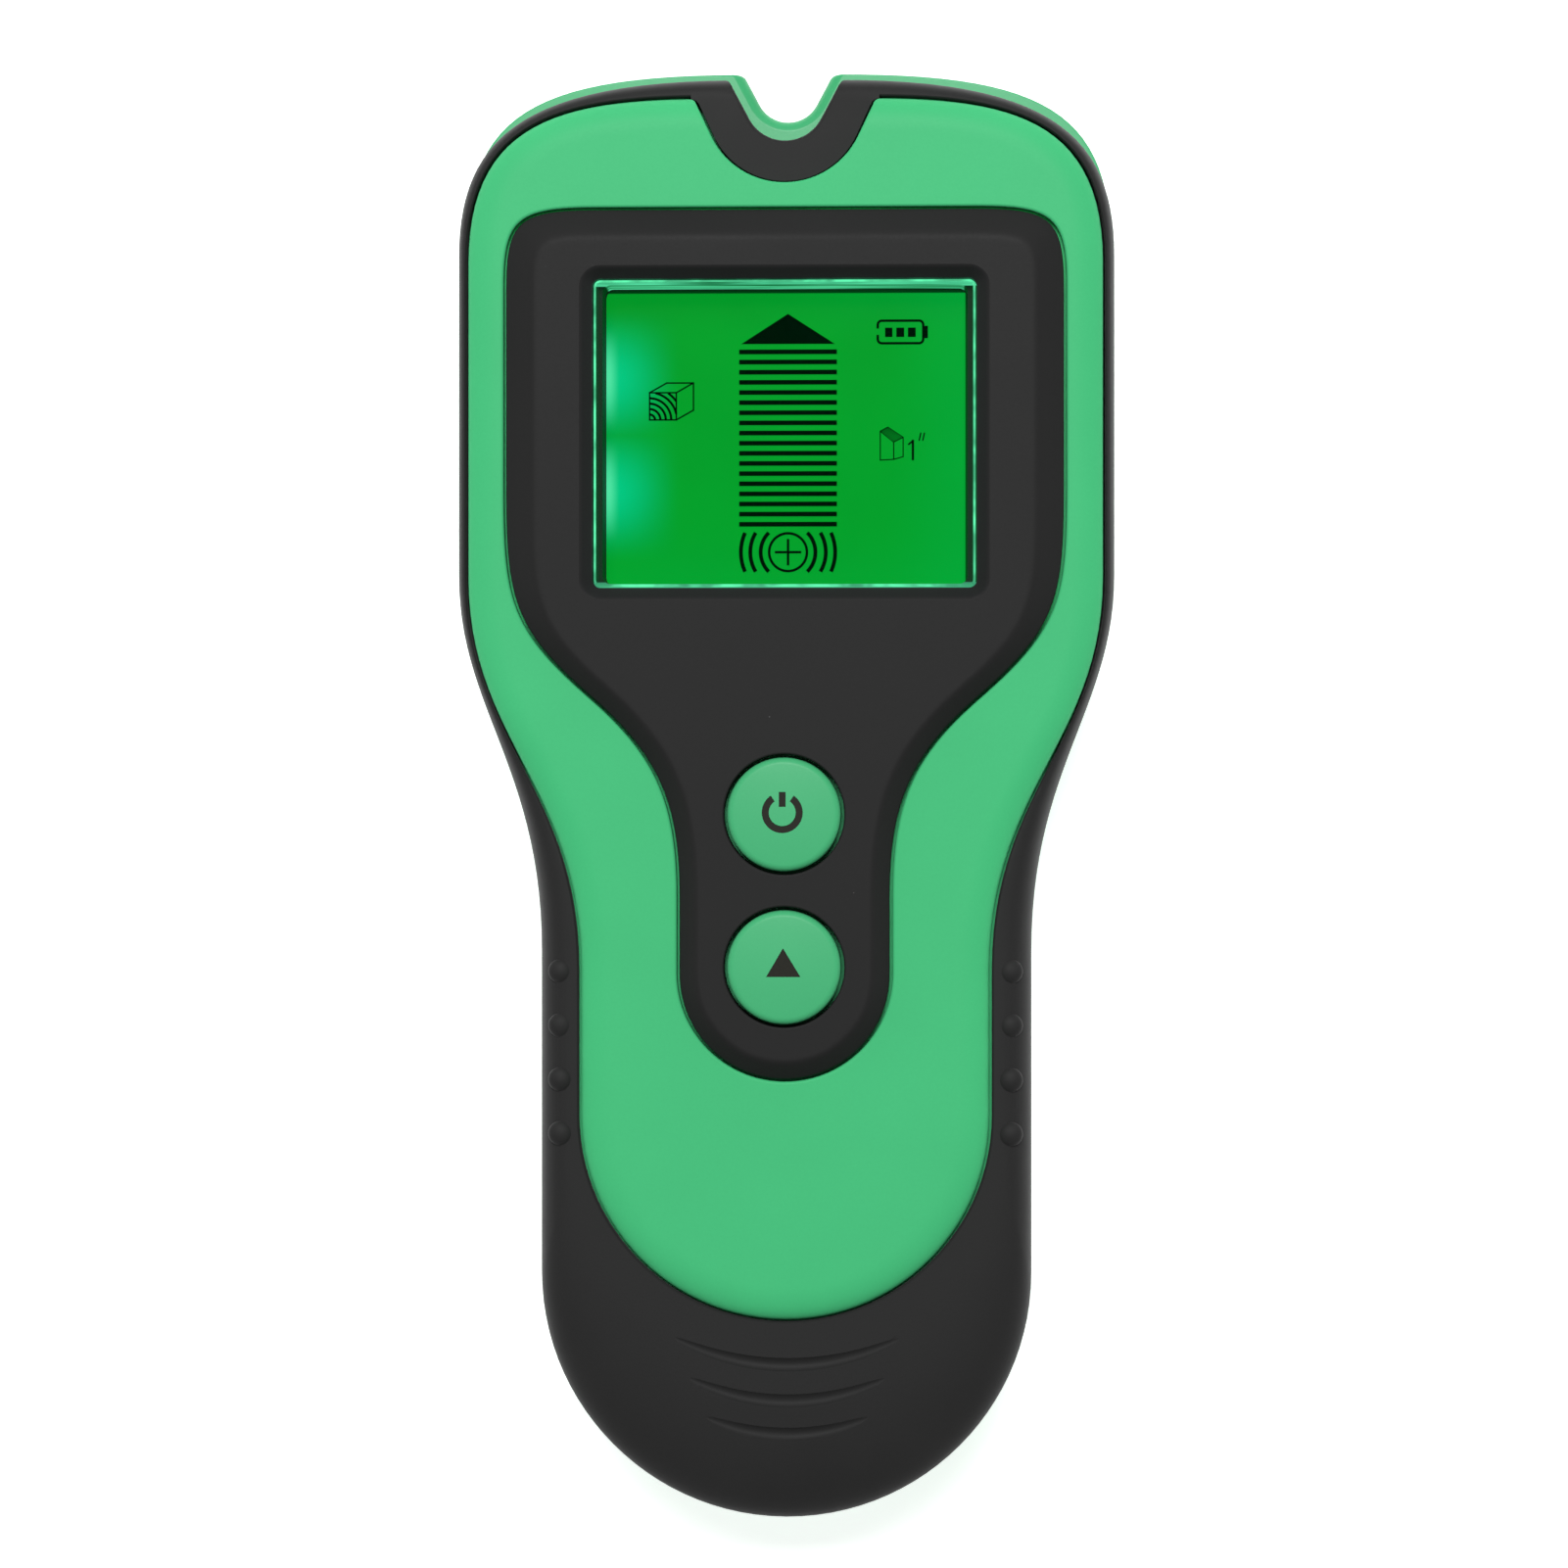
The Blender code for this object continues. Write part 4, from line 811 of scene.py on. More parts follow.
class Piece:
    """A visible piece: one mesh, shaped by cuts and joins and then dressed."""

    def __init__(self, name: str, bm: bmesh.types.BMesh) -> None:
        """Makes the piece's object from a mesh, which is freed."""
        self.object = self._object(name, bm)

    @staticmethod
    def _object(name: str, bm: bmesh.types.BMesh) -> bpy.types.Object:
        """An object in the scene from a mesh."""
        mesh = bpy.data.meshes.new(name)
        bm.to_mesh(mesh)
        bm.free()
        made = bpy.data.objects.new(name, mesh)
        bpy.context.scene.collection.objects.link(made)
        return made

    def _combine(self, operation: str, tools: Sequence[bmesh.types.BMesh | Piece]) -> Piece:
        """Applies a Boolean with each tool in turn."""
        for given in tools:
            tool = given.object if isinstance(given, Piece) else self._object("tool", given)
            modifier = self.object.modifiers.new("combine", "BOOLEAN")
            modifier.operation = operation
            modifier.object = tool
            graph = bpy.context.evaluated_depsgraph_get()
            result = bpy.data.meshes.new_from_object(self.object.evaluated_get(graph))
            self.object.modifiers.clear()
            old, self.object.data = self.object.data, result
            bpy.data.meshes.remove(old)
            spent = tool.data
            bpy.data.objects.remove(tool)
            bpy.data.meshes.remove(spent)
        return self

    def cut(self, *tools: bmesh.types.BMesh | Piece) -> Piece:
        """Takes each tool away."""
        return self._combine("DIFFERENCE", tools)

    def join(self, *tools: bmesh.types.BMesh | Piece) -> Piece:
        """Adds each tool."""
        return self._combine("UNION", tools)

    def keep(self, *tools: bmesh.types.BMesh | Piece) -> Piece:
        """Keeps only what lies inside each tool."""
        return self._combine("INTERSECT", tools)

    def dress(self, finish: Finish, body: Body, slot: str, *nodes: str) -> Piece:
        """Shades and paints the piece and ties it to the frame.

        Args:
            finish: The piece's finish.
            body: The body that it rides on.
            slot: The record's material slot; not used.
            nodes: The solid pieces that it stands for.

        Returns:
            The piece.
        """
        mesh = self.object.data
        mesh.name = self.object.name
        mesh.shade_smooth()
        mesh.set_sharp_from_angle(angle=SHARP)
        weighted = self.object.modifiers.new("flat_faces", "WEIGHTED_NORMAL")
        weighted.keep_sharp = True
        mesh.materials.clear()
        mesh.materials.append(finish.material())
        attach(self.object, body.value)
        if nodes:
            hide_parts(*nodes)
        log.info("%s: %d faces on %s", self.object.name, len(mesh.polygons), body.value)
        return self

    def paint_where(self, finish: Finish, chosen: Callable[[Vector], bool]) -> Piece:
        """Gives a second finish to the faces whose centre is chosen."""
        mesh = self.object.data
        mesh.materials.append(finish.material())
        number = len(mesh.materials) - 1
        for polygon in mesh.polygons:
            if chosen(polygon.center):
                polygon.material_index = number
        return self


# --------------------------------------------------------------------------- palette

GREEN = MouldedPlastic("green_abs", srgb(71, 188, 123), 0.42, specular=0.06)
REAR_GREEN = MouldedPlastic("rear_green", srgb(70, 178, 118), 0.34, specular=0.2)
BLACK = MouldedPlastic("black_abs", srgb(39, 39, 39), 0.5, clouding=0.04, specular=0.07, specks=0.25)
RUBBER = SoftRubber("black_rubber", srgb(39, 39, 39), specular=0.14)
# A darker copy of the bezel black for the seat round the lens: painted shade in that recess.
SHADOW_BLACK = MouldedPlastic("display_black", srgb(32, 32, 33), 0.55, specular=0.2)
BUTTON_GREEN = MouldedPlastic("button_green", srgb(71, 176, 118), 0.4, grain=0.22 * MM, specular=0.15)
MARK_INK = Ink("button_ink", srgb(36, 36, 30), 0.5, 0.1)
SEGMENT_INK = Ink("segment_ink", srgb(0, 12, 2), 0.5, 0.0)
STEEL = Metal("plated_steel", (0.62, 0.62, 0.61))
NICKEL = Metal("nickel", (0.66, 0.62, 0.55), 0.25)
FOIL = Metal("copper_foil", (0.8, 0.42, 0.25), 0.35, (8.0, 1.0, 1.0))
COPPER = Winding("copper_wire", (0.72, 0.3, 0.12))
BOARD = CircuitBoard("circuit_board", srgb(14, 82, 44), srgb(42, 128, 74))
CHIP = MouldedPlastic("chip", srgb(30, 30, 31), 0.5, grain=0.1 * MM)
WHITE = MouldedPlastic("nylon", srgb(226, 224, 214), 0.45, grain=0.15 * MM, clouding=0.02)
GUIDE = MouldedPlastic("light_guide", srgb(214, 240, 222), 0.25, grain=0.5 * MM, clouding=0.02)
LAMP = MouldedPlastic("lamp", srgb(240, 236, 190), 0.3, grain=0.1 * MM, clouding=0.02)
FOAM = Foam("foam", srgb(34, 34, 34))
RED_WIRE = MouldedPlastic("red_pvc", srgb(186, 24, 22), 0.38, grain=0.2 * MM)
BLACK_WIRE = MouldedPlastic("black_pvc", srgb(22, 22, 22), 0.38, grain=0.2 * MM)


# --------------------------------------------------------------------------- the case


def centre_of(node: str) -> tuple[float, float]:
    """Middle of a solid piece, seen from above."""
    low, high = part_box(node)
    return (low[0] + high[0]) / 2, (low[1] + high[1]) / 2


def size_of(node: str) -> tuple[float, float]:
    """Width and length of a solid piece, seen from above."""
    low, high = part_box(node)
    return high[0] - low[0], high[1] - low[1]


@dataclass(frozen=True)
class CaseLines:
    """Outlines and heights that the shells share. Places come from the solid model's own boxes."""

    top: float
    bottom: float
    head: float
    parting: float
    rim_face: float
    panel_face: float
    bezel_face: float
    lens_low: float
    lens_top: float
    glass_top: float
    window_y: float
    board_top: float
    rear_lip: float = 0.5 * MM
    handle: float = 27.0 * MM
    rim_round: float = 4.4 * MM
    dome: float = 1.6 * MM
    dome_width: float = 3.4 * MM
    jacket: float = 1.1 * MM
    wall: float = 2.0 * MM
    side_wall: float = 1.4 * MM
    skin: float = 1.3 * MM
    notch_radius: float = 4.43 * MM
    notch_drop: float = 3.85 * MM
    notch_flank: float = 28.0
    surround_radius: float = 8.73 * MM
    surround_drop: float = 4.2 * MM
    surround_flank: float = 25.0
    rear_notch_radius: float = 3.6 * MM
    rear_notch_drop: float = 1.6 * MM
    rear_notch_lip: float = 0.9 * MM
    jacket_drop: float = 1.2 * MM
    panel_drop: float = 3.8 * MM
    window: tuple[float, float] = (41.9 * MM, 33.7 * MM)
    view: tuple[float, float] = (39.9 * MM, 32.7 * MM)
    window_corner: float = 0.9 * MM

    @classmethod
    def from_frame(cls) -> CaseLines:
        """Reads the shared places off the solid model."""
        rear, jacket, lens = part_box("rear_housing"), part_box("grip_jacket"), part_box("display_lens")
        return cls(
            top=rear[1][1], bottom=jacket[0][1], head=jacket[1][0], parting=jacket[0][2] - GAP,
            rim_face=jacket[1][2], panel_face=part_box("front_housing")[1][2],
            bezel_face=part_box("center_bezel")[1][2], lens_low=lens[0][2], lens_top=lens[1][2],
            glass_top=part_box("lcd_glass")[1][2], window_y=(lens[0][1] + lens[1][1]) / 2,
            board_top=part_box("main_board")[1][2])

    def _heel(self, half: float, heel_y: float) -> tuple[Knot, Knot]:
        """The straight end of a handle and the half circle that closes it."""
        return (
            Knot(half, heel_y, -90, after=half * QUARTER),
            Knot(0.0, heel_y - half, 180, before=half * QUARTER),
        )

    def _body(self, top: float, inset: float, shoulder: tuple[float, float, float]) -> Outline:
        """Outline of the case, with the shoulder's height and its two curve reaches."""
        head, handle = self.head - inset, self.handle - inset
        shoulder_y, top_reach, side_reach = shoulder
        return Outline((
            Knot(5.5 * MM, top, 0, after=top_reach),
            Knot(head, shoulder_y, -90, before=side_reach),
            Knot(head, self.datum - 55.8 * MM, -90, after=14.6 * MM),
            Knot(handle, self.datum - 97.1 * MM, -90, before=20.3 * MM),
            *self._heel(handle, self.bottom + self.handle),
        ))

    @property
    def jacket_line(self) -> Outline:
        """Outer outline of the black jacket."""
        top = self.datum - self.jacket_drop
        return self._body(top, 0.0, (self.datum - 20.65 * MM, 25.3 * MM, 11.8 * MM))

    @property
    def rear_line(self) -> Outline:
        """Outer outline of the green rear shell."""
        return self._body(self.top, 0.12 * MM, (self.datum - 19.0 * MM, 22.9 * MM, 15.2 * MM))

    @property
    def panel_line(self) -> Outline:
        """Outer edge of the green front panel."""
        head, handle = self.head - self.jacket - GAP, self.handle - 4.7 * MM
        return Outline((
            Knot(8.9 * MM, self.panel_top, 0, after=15.3 * MM),
            Knot(head, self.datum - 21.7 * MM, -90, before=15.8 * MM),
            Knot(head, self.datum - 56.1 * MM, -90, after=17.9 * MM),
            Knot(handle, self.datum - 99.0 * MM, -90, before=19.9 * MM),
            *self._heel(handle, self.bottom + 44.6 * MM),
        ))

    @property
    def datum(self) -> float:
        """Where the front's sizes are measured from, just under the rear shell's upper end."""
        return self.top - self.rear_lip

    @property
    def panel_top(self) -> float:
        """Upper edge of the green front panel."""
        return self.datum - self.panel_drop

    @property
    def bezel_line(self) -> Outline:
        """Outer edge of the black centre bezel."""
        head, neck = self.head - 5.7 * MM, 11.45 * MM
        brow = self.datum - 16.1 * MM
        return Outline((
            Knot(head - 9.7 * MM, brow, 0, after=8.25 * MM),
            Knot(head, brow - 8.3 * MM, -90, before=7.2 * MM),
            Knot(head, self.datum - 46.2 * MM, -90, after=12.5 * MM),
            Knot((head + neck) / 2, self.datum - 69.3 * MM, -139, before=11.6 * MM, after=9.6 * MM),
            Knot(neck, self.datum - 91.0 * MM, -90, before=10.2 * MM),
            *self._heel(neck, self.datum - 99.4 * MM),
        ))

    def shoulder(self, inset: float, panel: Outline, depth: float, steps: int = 15) -> list[Ring]:
        """The rounded way in from the side to the panel, a depth under the jacket's skin."""
        body, edge = self.jacket_line.inset(inset).points(), panel.points()
        rings = []
        for i in range(steps + 1):
            rise = math.sin(math.pi / 2 * i / steps)
            share = 1 - (1 - rise**2) ** (1 / 3)
            height = self.rim_face - self.rim_round * (1 - rise) - depth
            rings.append(at(mixed(body, edge, share), height))
        return rings

    def shoulder_height(self, x: float, y: float) -> float:
        """Height of the jacket's rounded face above a place."""
        place = Vector((x, y))
        outer = min((Vector(p) - place).length for p in self.jacket_line.points())
        inner = min((Vector(p) - place).length for p in self.panel_line.points())
        share = outer / (outer + inner)
        return self.rim_face - self.rim_round * (1 - math.sqrt(1 - (1 - share) ** 3))

    def notch(self, radius: float, drop: float, flank: float, lip: float = 0.0, lip_y: float = 0.0) -> Plan:
        """Plan of a round-bottomed V that opens at the top end.

        Args:
            radius: Radius of its bottom.
            drop: How far the radius's centre lies under the top end.
            flank: Lean of its sides, in degrees.
            lip: Radius of its rounded lips.
            lip_y: Where the lips start, if there are any.

        Returns:
            The closed plan's points.
        """
        lean = math.radians(flank)
        run = self.top + 6 * MM
        arc = []
        steps = 2 * ARC_STEPS
        for i in range(steps + 1):
            angle = -lean - (math.pi - 2 * lean) * i / steps
            arc.append((radius * math.cos(angle), self.top - drop + radius * math.sin(angle)))
        x, y = arc[0]
        if lip:
            lip_x = x + (lip_y - y) * math.tan(lean) + lip * math.tan(math.pi / 4 - lean / 2)
            side = [(lip_x + lip / 2, run), (lip_x, lip_y)]
            for i in range(1, ARC_STEPS // 2 + 1):
                angle = math.pi / 2 + (math.pi / 2 - lean) * i / (ARC_STEPS // 2)
                side.append((lip_x + lip * math.cos(angle), lip_y - lip + lip * math.sin(angle)))
        else:
            side = [(x + (run - y) * math.tan(lean), run)]
        return side + arc + [(-px, py) for px, py in reversed(side)]

    def marking_notch(self, grow: float = 0.0, lip: float = 0.0) -> Plan:
        """Plan of the notch in the jacket, grown outwards."""
        drop, lip_y = self.rear_lip + self.notch_drop, self.datum - self.jacket_drop
        return self.notch(self.notch_radius + grow, drop, self.notch_flank, lip, lip_y)

    def surround(self, grow: float = 0.0, lip: float = 0.0) -> Plan:
        """Plan of the black collar round the notch, grown outwards."""
        drop = self.rear_lip + self.surround_drop
        return self.notch(self.surround_radius + grow, drop, self.surround_flank, lip, self.panel_top)

    def rear_notch(self, grow: float = 0.0) -> Plan:
        """Plan of the notch in the rear shell, grown outwards."""
        return self.notch(
            self.rear_notch_radius + grow, self.rear_notch_drop, self.notch_flank, self.rear_notch_lip,
            self.top)

    def window_plan(self, size: tuple[float, float], grow: float = 0.0) -> Plan:
        """A rounded rectangle about the display's middle."""
        corner = max(self.window_corner + grow, 0.2 * MM)
        return rounded_rectangle(0.0, self.window_y, size[0] + 2 * grow, size[1] + 2 * grow, corner)

    def panel_height(self, x: float, y: float) -> float:
        """Height of the green panel's face above a place."""
        place = Vector((x, y))
        inside = min((Vector(p) - place).length for p in self.panel_line.points())
        share = min(1.0, inside / self.dome_width)
        return self.rim_face + self.dome * math.sqrt(1 - (1 - share) ** 2)


@dataclass(frozen=True)
class Screws:
    """Case screws, board screws and the posts that they run in."""

    case: CaseLines
    case_radius: float = 1.1 * MM
    case_head: float = 2.6 * MM
    case_seat: float = 6.0 * MM
    head_thick: float = 1.7 * MM
    board_radius: float = 0.9 * MM
    board_post: float = 2.3 * MM

    def places(self, kind: str) -> list[tuple[float, float]]:
        """Where the four screws of a kind stand."""
        return [centre_of(f"{kind}_screw_{i}") for i in range(1, 5)]

    def build(self) -> None:
        """Makes the four case screws, whose heads show at the back."""
        for i, (x, y) in enumerate(self.places("case")):
            name = f"case_screw_{i + 1}"
            low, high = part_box(name)
            neck = low[2] + self.head_thick
            r = self.case_radius
            profile = [(0.0, low[2]), (0.7 * self.case_head, low[2])]
            for degrees in (30, 60, 90):
                angle = math.radians(degrees)
                profile.append((
                    self.case_head * (0.7 + 0.3 * math.sin(angle)),
                    low[2] + 0.6 * MM * (1 - math.cos(angle))))
            profile += [(self.case_head, neck), (r, neck)]
            z = neck + 1.0 * MM
            while z < high[2] - 2 * r:
                profile += [(0.82 * r, z), (r, z + 0.3 * MM), (0.82 * r, z + 0.6 * MM)]
                z += 0.9 * MM
            profile += [(0.3 * r, high[2]), (0.0, high[2])]
            screw = Piece(name + "_fine", turned(x, y, profile, 40))
            arm, half = 0.55 * self.case_head, 0.13 * self.case_head
            foot, roof = low[2] - MM, low[2] + 0.9 * MM
            screw.cut(
                block(x - arm, x + arm, y - half, y + half, foot, roof),
                block(x - half, x + half, y - arm, y + arm, foot, roof))
            screw.dress(STEEL, Body.CASE, "steel", name)


@dataclass(frozen=True)
class RearShell:
    """Green rear shell: rounded back, battery bay, screw wells and label recess."""

    case: CaseLines
    screws: Screws
    edge_round: float = 2.0 * MM
    bay_wall: float = 1.3 * MM
    bay_front_wall: float = 1.0 * MM
    bay_ceiling: float = 0.9 * MM
    door_ledge: float = 2.2 * MM
    door_thick: float = 1.5 * MM
    door_corner: float = 5.0 * MM
    label_depth: float = 0.5 * MM
    label_corner: float = 1.5 * MM
    post_wall: float = 0.9 * MM
    lead_slot: tuple[float, float] = (0.85 * MM, 1.9 * MM)

    def bay(self) -> tuple[float, float, float, float]:
        """Half width, heel end, head end and ceiling of the battery bay."""
        cell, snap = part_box("battery_cell"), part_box("battery_snap")
        return cell[1][0] + GAP, cell[0][1] - GAP, snap[1][1] + GAP, cell[1][2] + GAP

    def door_plan(self, grow: float) -> Plan:
        """The battery door's rounded plan, or its recess when it is grown."""
        width, length = size_of("battery_door")
        return rounded_rectangle(
            0.0, centre_of("battery_door")[1], width + 2 * grow, length + 2 * grow, self.door_corner + grow)

    def build(self) -> None:
        """Lofts the shell, hollows it and cuts its openings."""
        c = self.case
        line = c.rear_line
        rings = []
        for i in range(10):
            angle = math.pi / 2 * i / 9
            inset = self.edge_round * (1 - math.sin(angle))
            rings.append(at(line.inset(inset).points(), self.edge_round * (1 - math.cos(angle))))
        rings.append(at(line.points(), c.parting - 0.25 * MM))
        rings.append(at(line.inset(0.08 * MM).points(), c.parting - 0.08 * MM))
        rings.append(at(line.inset(0.25 * MM).points(), c.parting))
        shell = Piece("rear_shell", lofted(rings))

        half, foot, head, ceiling = self.bay()
        outer = (
            -half - self.bay_wall, half + self.bay_wall, foot - self.bay_wall, head + self.bay_front_wall)
        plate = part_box("battery_door")[0][2] + self.door_thick
        hollow = Piece("hollow", prism(line.inset(c.wall).points(), c.wall, c.parting + MM))
        hollow.cut(
            prism(c.marking_notch(c.wall), 0.0, c.bezel_face),
            prism(self.door_plan(1.2 * MM), 0.0, plate + 2.2 * MM),
            block(*outer, 0.0, c.bezel_face))
        for x, y in self.screws.places("case"):
            hollow.cut(prism(circle(x, y, self.screws.case_head + self.post_wall), 0.0, c.parting - GAP))
        shell.cut(hollow)

        room = c.jacket + 2 * GAP + c.side_wall
        ceiling_block = Piece("bay", block(*outer, c.parting / 2, ceiling + self.bay_ceiling))
        ceiling_block.keep(lofted([
            at(c.jacket_line.inset(room).points(), 0.0),
            *c.shoulder(room, c.panel_line.inset(c.wall + GAP), c.jacket + c.skin + 2 * GAP, 6)]))
        shell.join(ceiling_block)
        shell.cut(
            block(-half, half, foot, head, -MM, ceiling),
            lofted(self.recess_rings(self.door_plan, plate + GAP)),
            prism(c.rear_notch(), -MM, c.parting / 2),
            flared(c.rear_notch, c.parting / 2 - MM, c.parting, 1.3 * MM, c.bezel_face))
        for x, y, rib in self.latch_pockets(foot, head):
            wide, deep = rib + GAP, 0.75 * MM
            shell.cut(block(x - wide, x + wide, y - deep, y + deep, MM, plate + 1.7 * MM))
        for x, y in self.screws.places("case"):
            mouth = (
                (0.5 * MM, -MM), (0.5 * MM, 0.0), (0.12 * MM, 0.15 * MM), (0.0, 0.45 * MM),
                (0.0, self.screws.case_seat))
            shell.cut(lofted([
                at(circle(x, y, self.screws.case_head + GAP + grow), z) for grow, z in mouth]))
            shell.cut(prism(circle(x, y, self.screws.case_radius + GAP), MM, c.parting + MM))
        width, length = size_of("rating_label")
        shell.cut(prism(rounded_rectangle(
            0.0, centre_of("rating_label")[1], width + 2 * GAP, length + 2 * GAP, self.label_corner),
            -MM, self.label_depth))
        slot, slot_deep = self.lead_slot
        for lead in ("lead_red", "lead_black"):
            x = centre_of(lead)[0]
            shell.cut(block(x - slot, x + slot, head - MM, head + 2 * MM, ceiling - slot_deep, ceiling))
        shell.dress(REAR_GREEN, Body.CASE, "green_abs", "rear_housing")

    def recess_rings(self, plan: Callable[[float], Plan], depth: float) -> list[Ring]:
        """Rings of a recess in the back with a rounded mouth."""
        return [
            at(plan(GAP + 0.6 * MM), -MM), at(plan(GAP + 0.5 * MM), 0.0),
            at(plan(GAP + 0.12 * MM), 0.14 * MM), at(plan(GAP), 0.45 * MM), at(plan(GAP), depth)]

    def latch_pockets(self, foot: float, head: float) -> list[tuple[float, float, float]]:
        """Place and half length of each rib that holds the door."""
        heel = foot - self.door_ledge / 2 - GAP / 2
        latch = (0.0, head + self.door_ledge / 2, 5.0 * MM)
        return [latch, *((side * 6.0 * MM, heel, 2.0 * MM) for side in (-1, 1))]


@dataclass(frozen=True)
class FrontShell:
    """Green front shell with the domed panel."""

    case: CaseLines
    screws: Screws
    ledge: float = 5.0 * MM
    corner_round: float = 1.0 * MM
    edge_round: float = 0.32 * MM
    boss_wall: float = 1.6 * MM
    case_bore_top: float = 22.0 * MM
    board_bore_top: float = 19.4 * MM

    def build(self) -> None:
        """Lofts the shell and its dome, hollows it and cuts the bezel's seat and the collar."""
        c = self.case
        lining = c.jacket + GAP
        rings = [at(c.jacket_line.inset(lining).points(), c.parting + GAP)]
        rings += c.shoulder(lining, c.panel_line.inset(0.05 * MM), lining, 8)
        for i in range(13):
            angle = math.pi / 2 * i / 12
            inset = c.dome_width * (1 - math.cos(angle))
            rings.append(at(c.panel_line.inset(inset).points(), c.rim_face + c.dome * math.sin(angle)))
        rings.append(at(c.panel_line.inset(c.dome_width + 0.4 * MM).points(), c.panel_face))
        shell = Piece("front_shell", lofted(rings))

        ceiling = c.panel_face - c.wall
        hollow = Piece("hollow", lofted([
            at(c.jacket_line.inset(lining + c.side_wall).points(), 0.0),
            *c.shoulder(lining + c.side_wall, c.panel_line.inset(c.wall), lining + c.skin, 6),
            at(c.panel_line.inset(c.wall + 0.2 * MM).points(), ceiling - 0.6 * MM),
            at(c.panel_line.inset(c.wall + 1.6 * MM).points(), ceiling)]))
        ledge = c.panel_face - self.ledge
        hollow.cut(
            prism(c.marking_notch(lining + c.wall), 0.0, c.bezel_face),
            prism(c.surround(c.wall), ledge - c.wall, c.bezel_face))
        boss = self.screws.case_radius + self.boss_wall
        posts = self.screws.places("board")
        for x, y in self.screws.places("case"):
            hollow.cut(prism(circle(x, y, boss), c.parting + GAP, c.bezel_face))
        for x, y in posts:
            hollow.cut(prism(circle(x, y, self.screws.board_post), c.board_top + GAP, c.bezel_face))
        shell.cut(hollow)
        for x, y in posts:
            shell.join(prism(circle(x, y, self.screws.board_post), c.board_top + GAP, c.parting + 2 * MM))
        shell.cut(
            prism(c.marking_notch(lining), 0.0, c.bezel_face),
            flared(
                lambda grow: c.surround(GAP / 2 + grow, self.corner_round), ledge, c.panel_height,
                self.edge_round, c.bezel_face),
            flared(
                lambda grow: c.bezel_line.inset(-GAP - grow).points(), c.panel_face - c.skin - GAP,
                c.panel_face, self.edge_round, c.bezel_face),
            prism(c.bezel_line.inset(1.5 * MM).points(), ceiling - GAP, c.bezel_face))
        for x, y in self.screws.places("case"):
            shell.cut(prism(
                circle(x, y, self.screws.case_radius + GAP), c.parting - MM, self.case_bore_top))
        for x, y in posts:
            shell.cut(prism(
                circle(x, y, self.screws.board_radius + GAP), c.parting - 2 * MM, self.board_bore_top))
        shell.dress(GREEN, Body.CASE, "green_abs", "front_housing")


@dataclass(frozen=True)
class HeelGroove:
    """One of the curved finger grooves on the heel."""

    half: float
    lowest: float
    radius: float


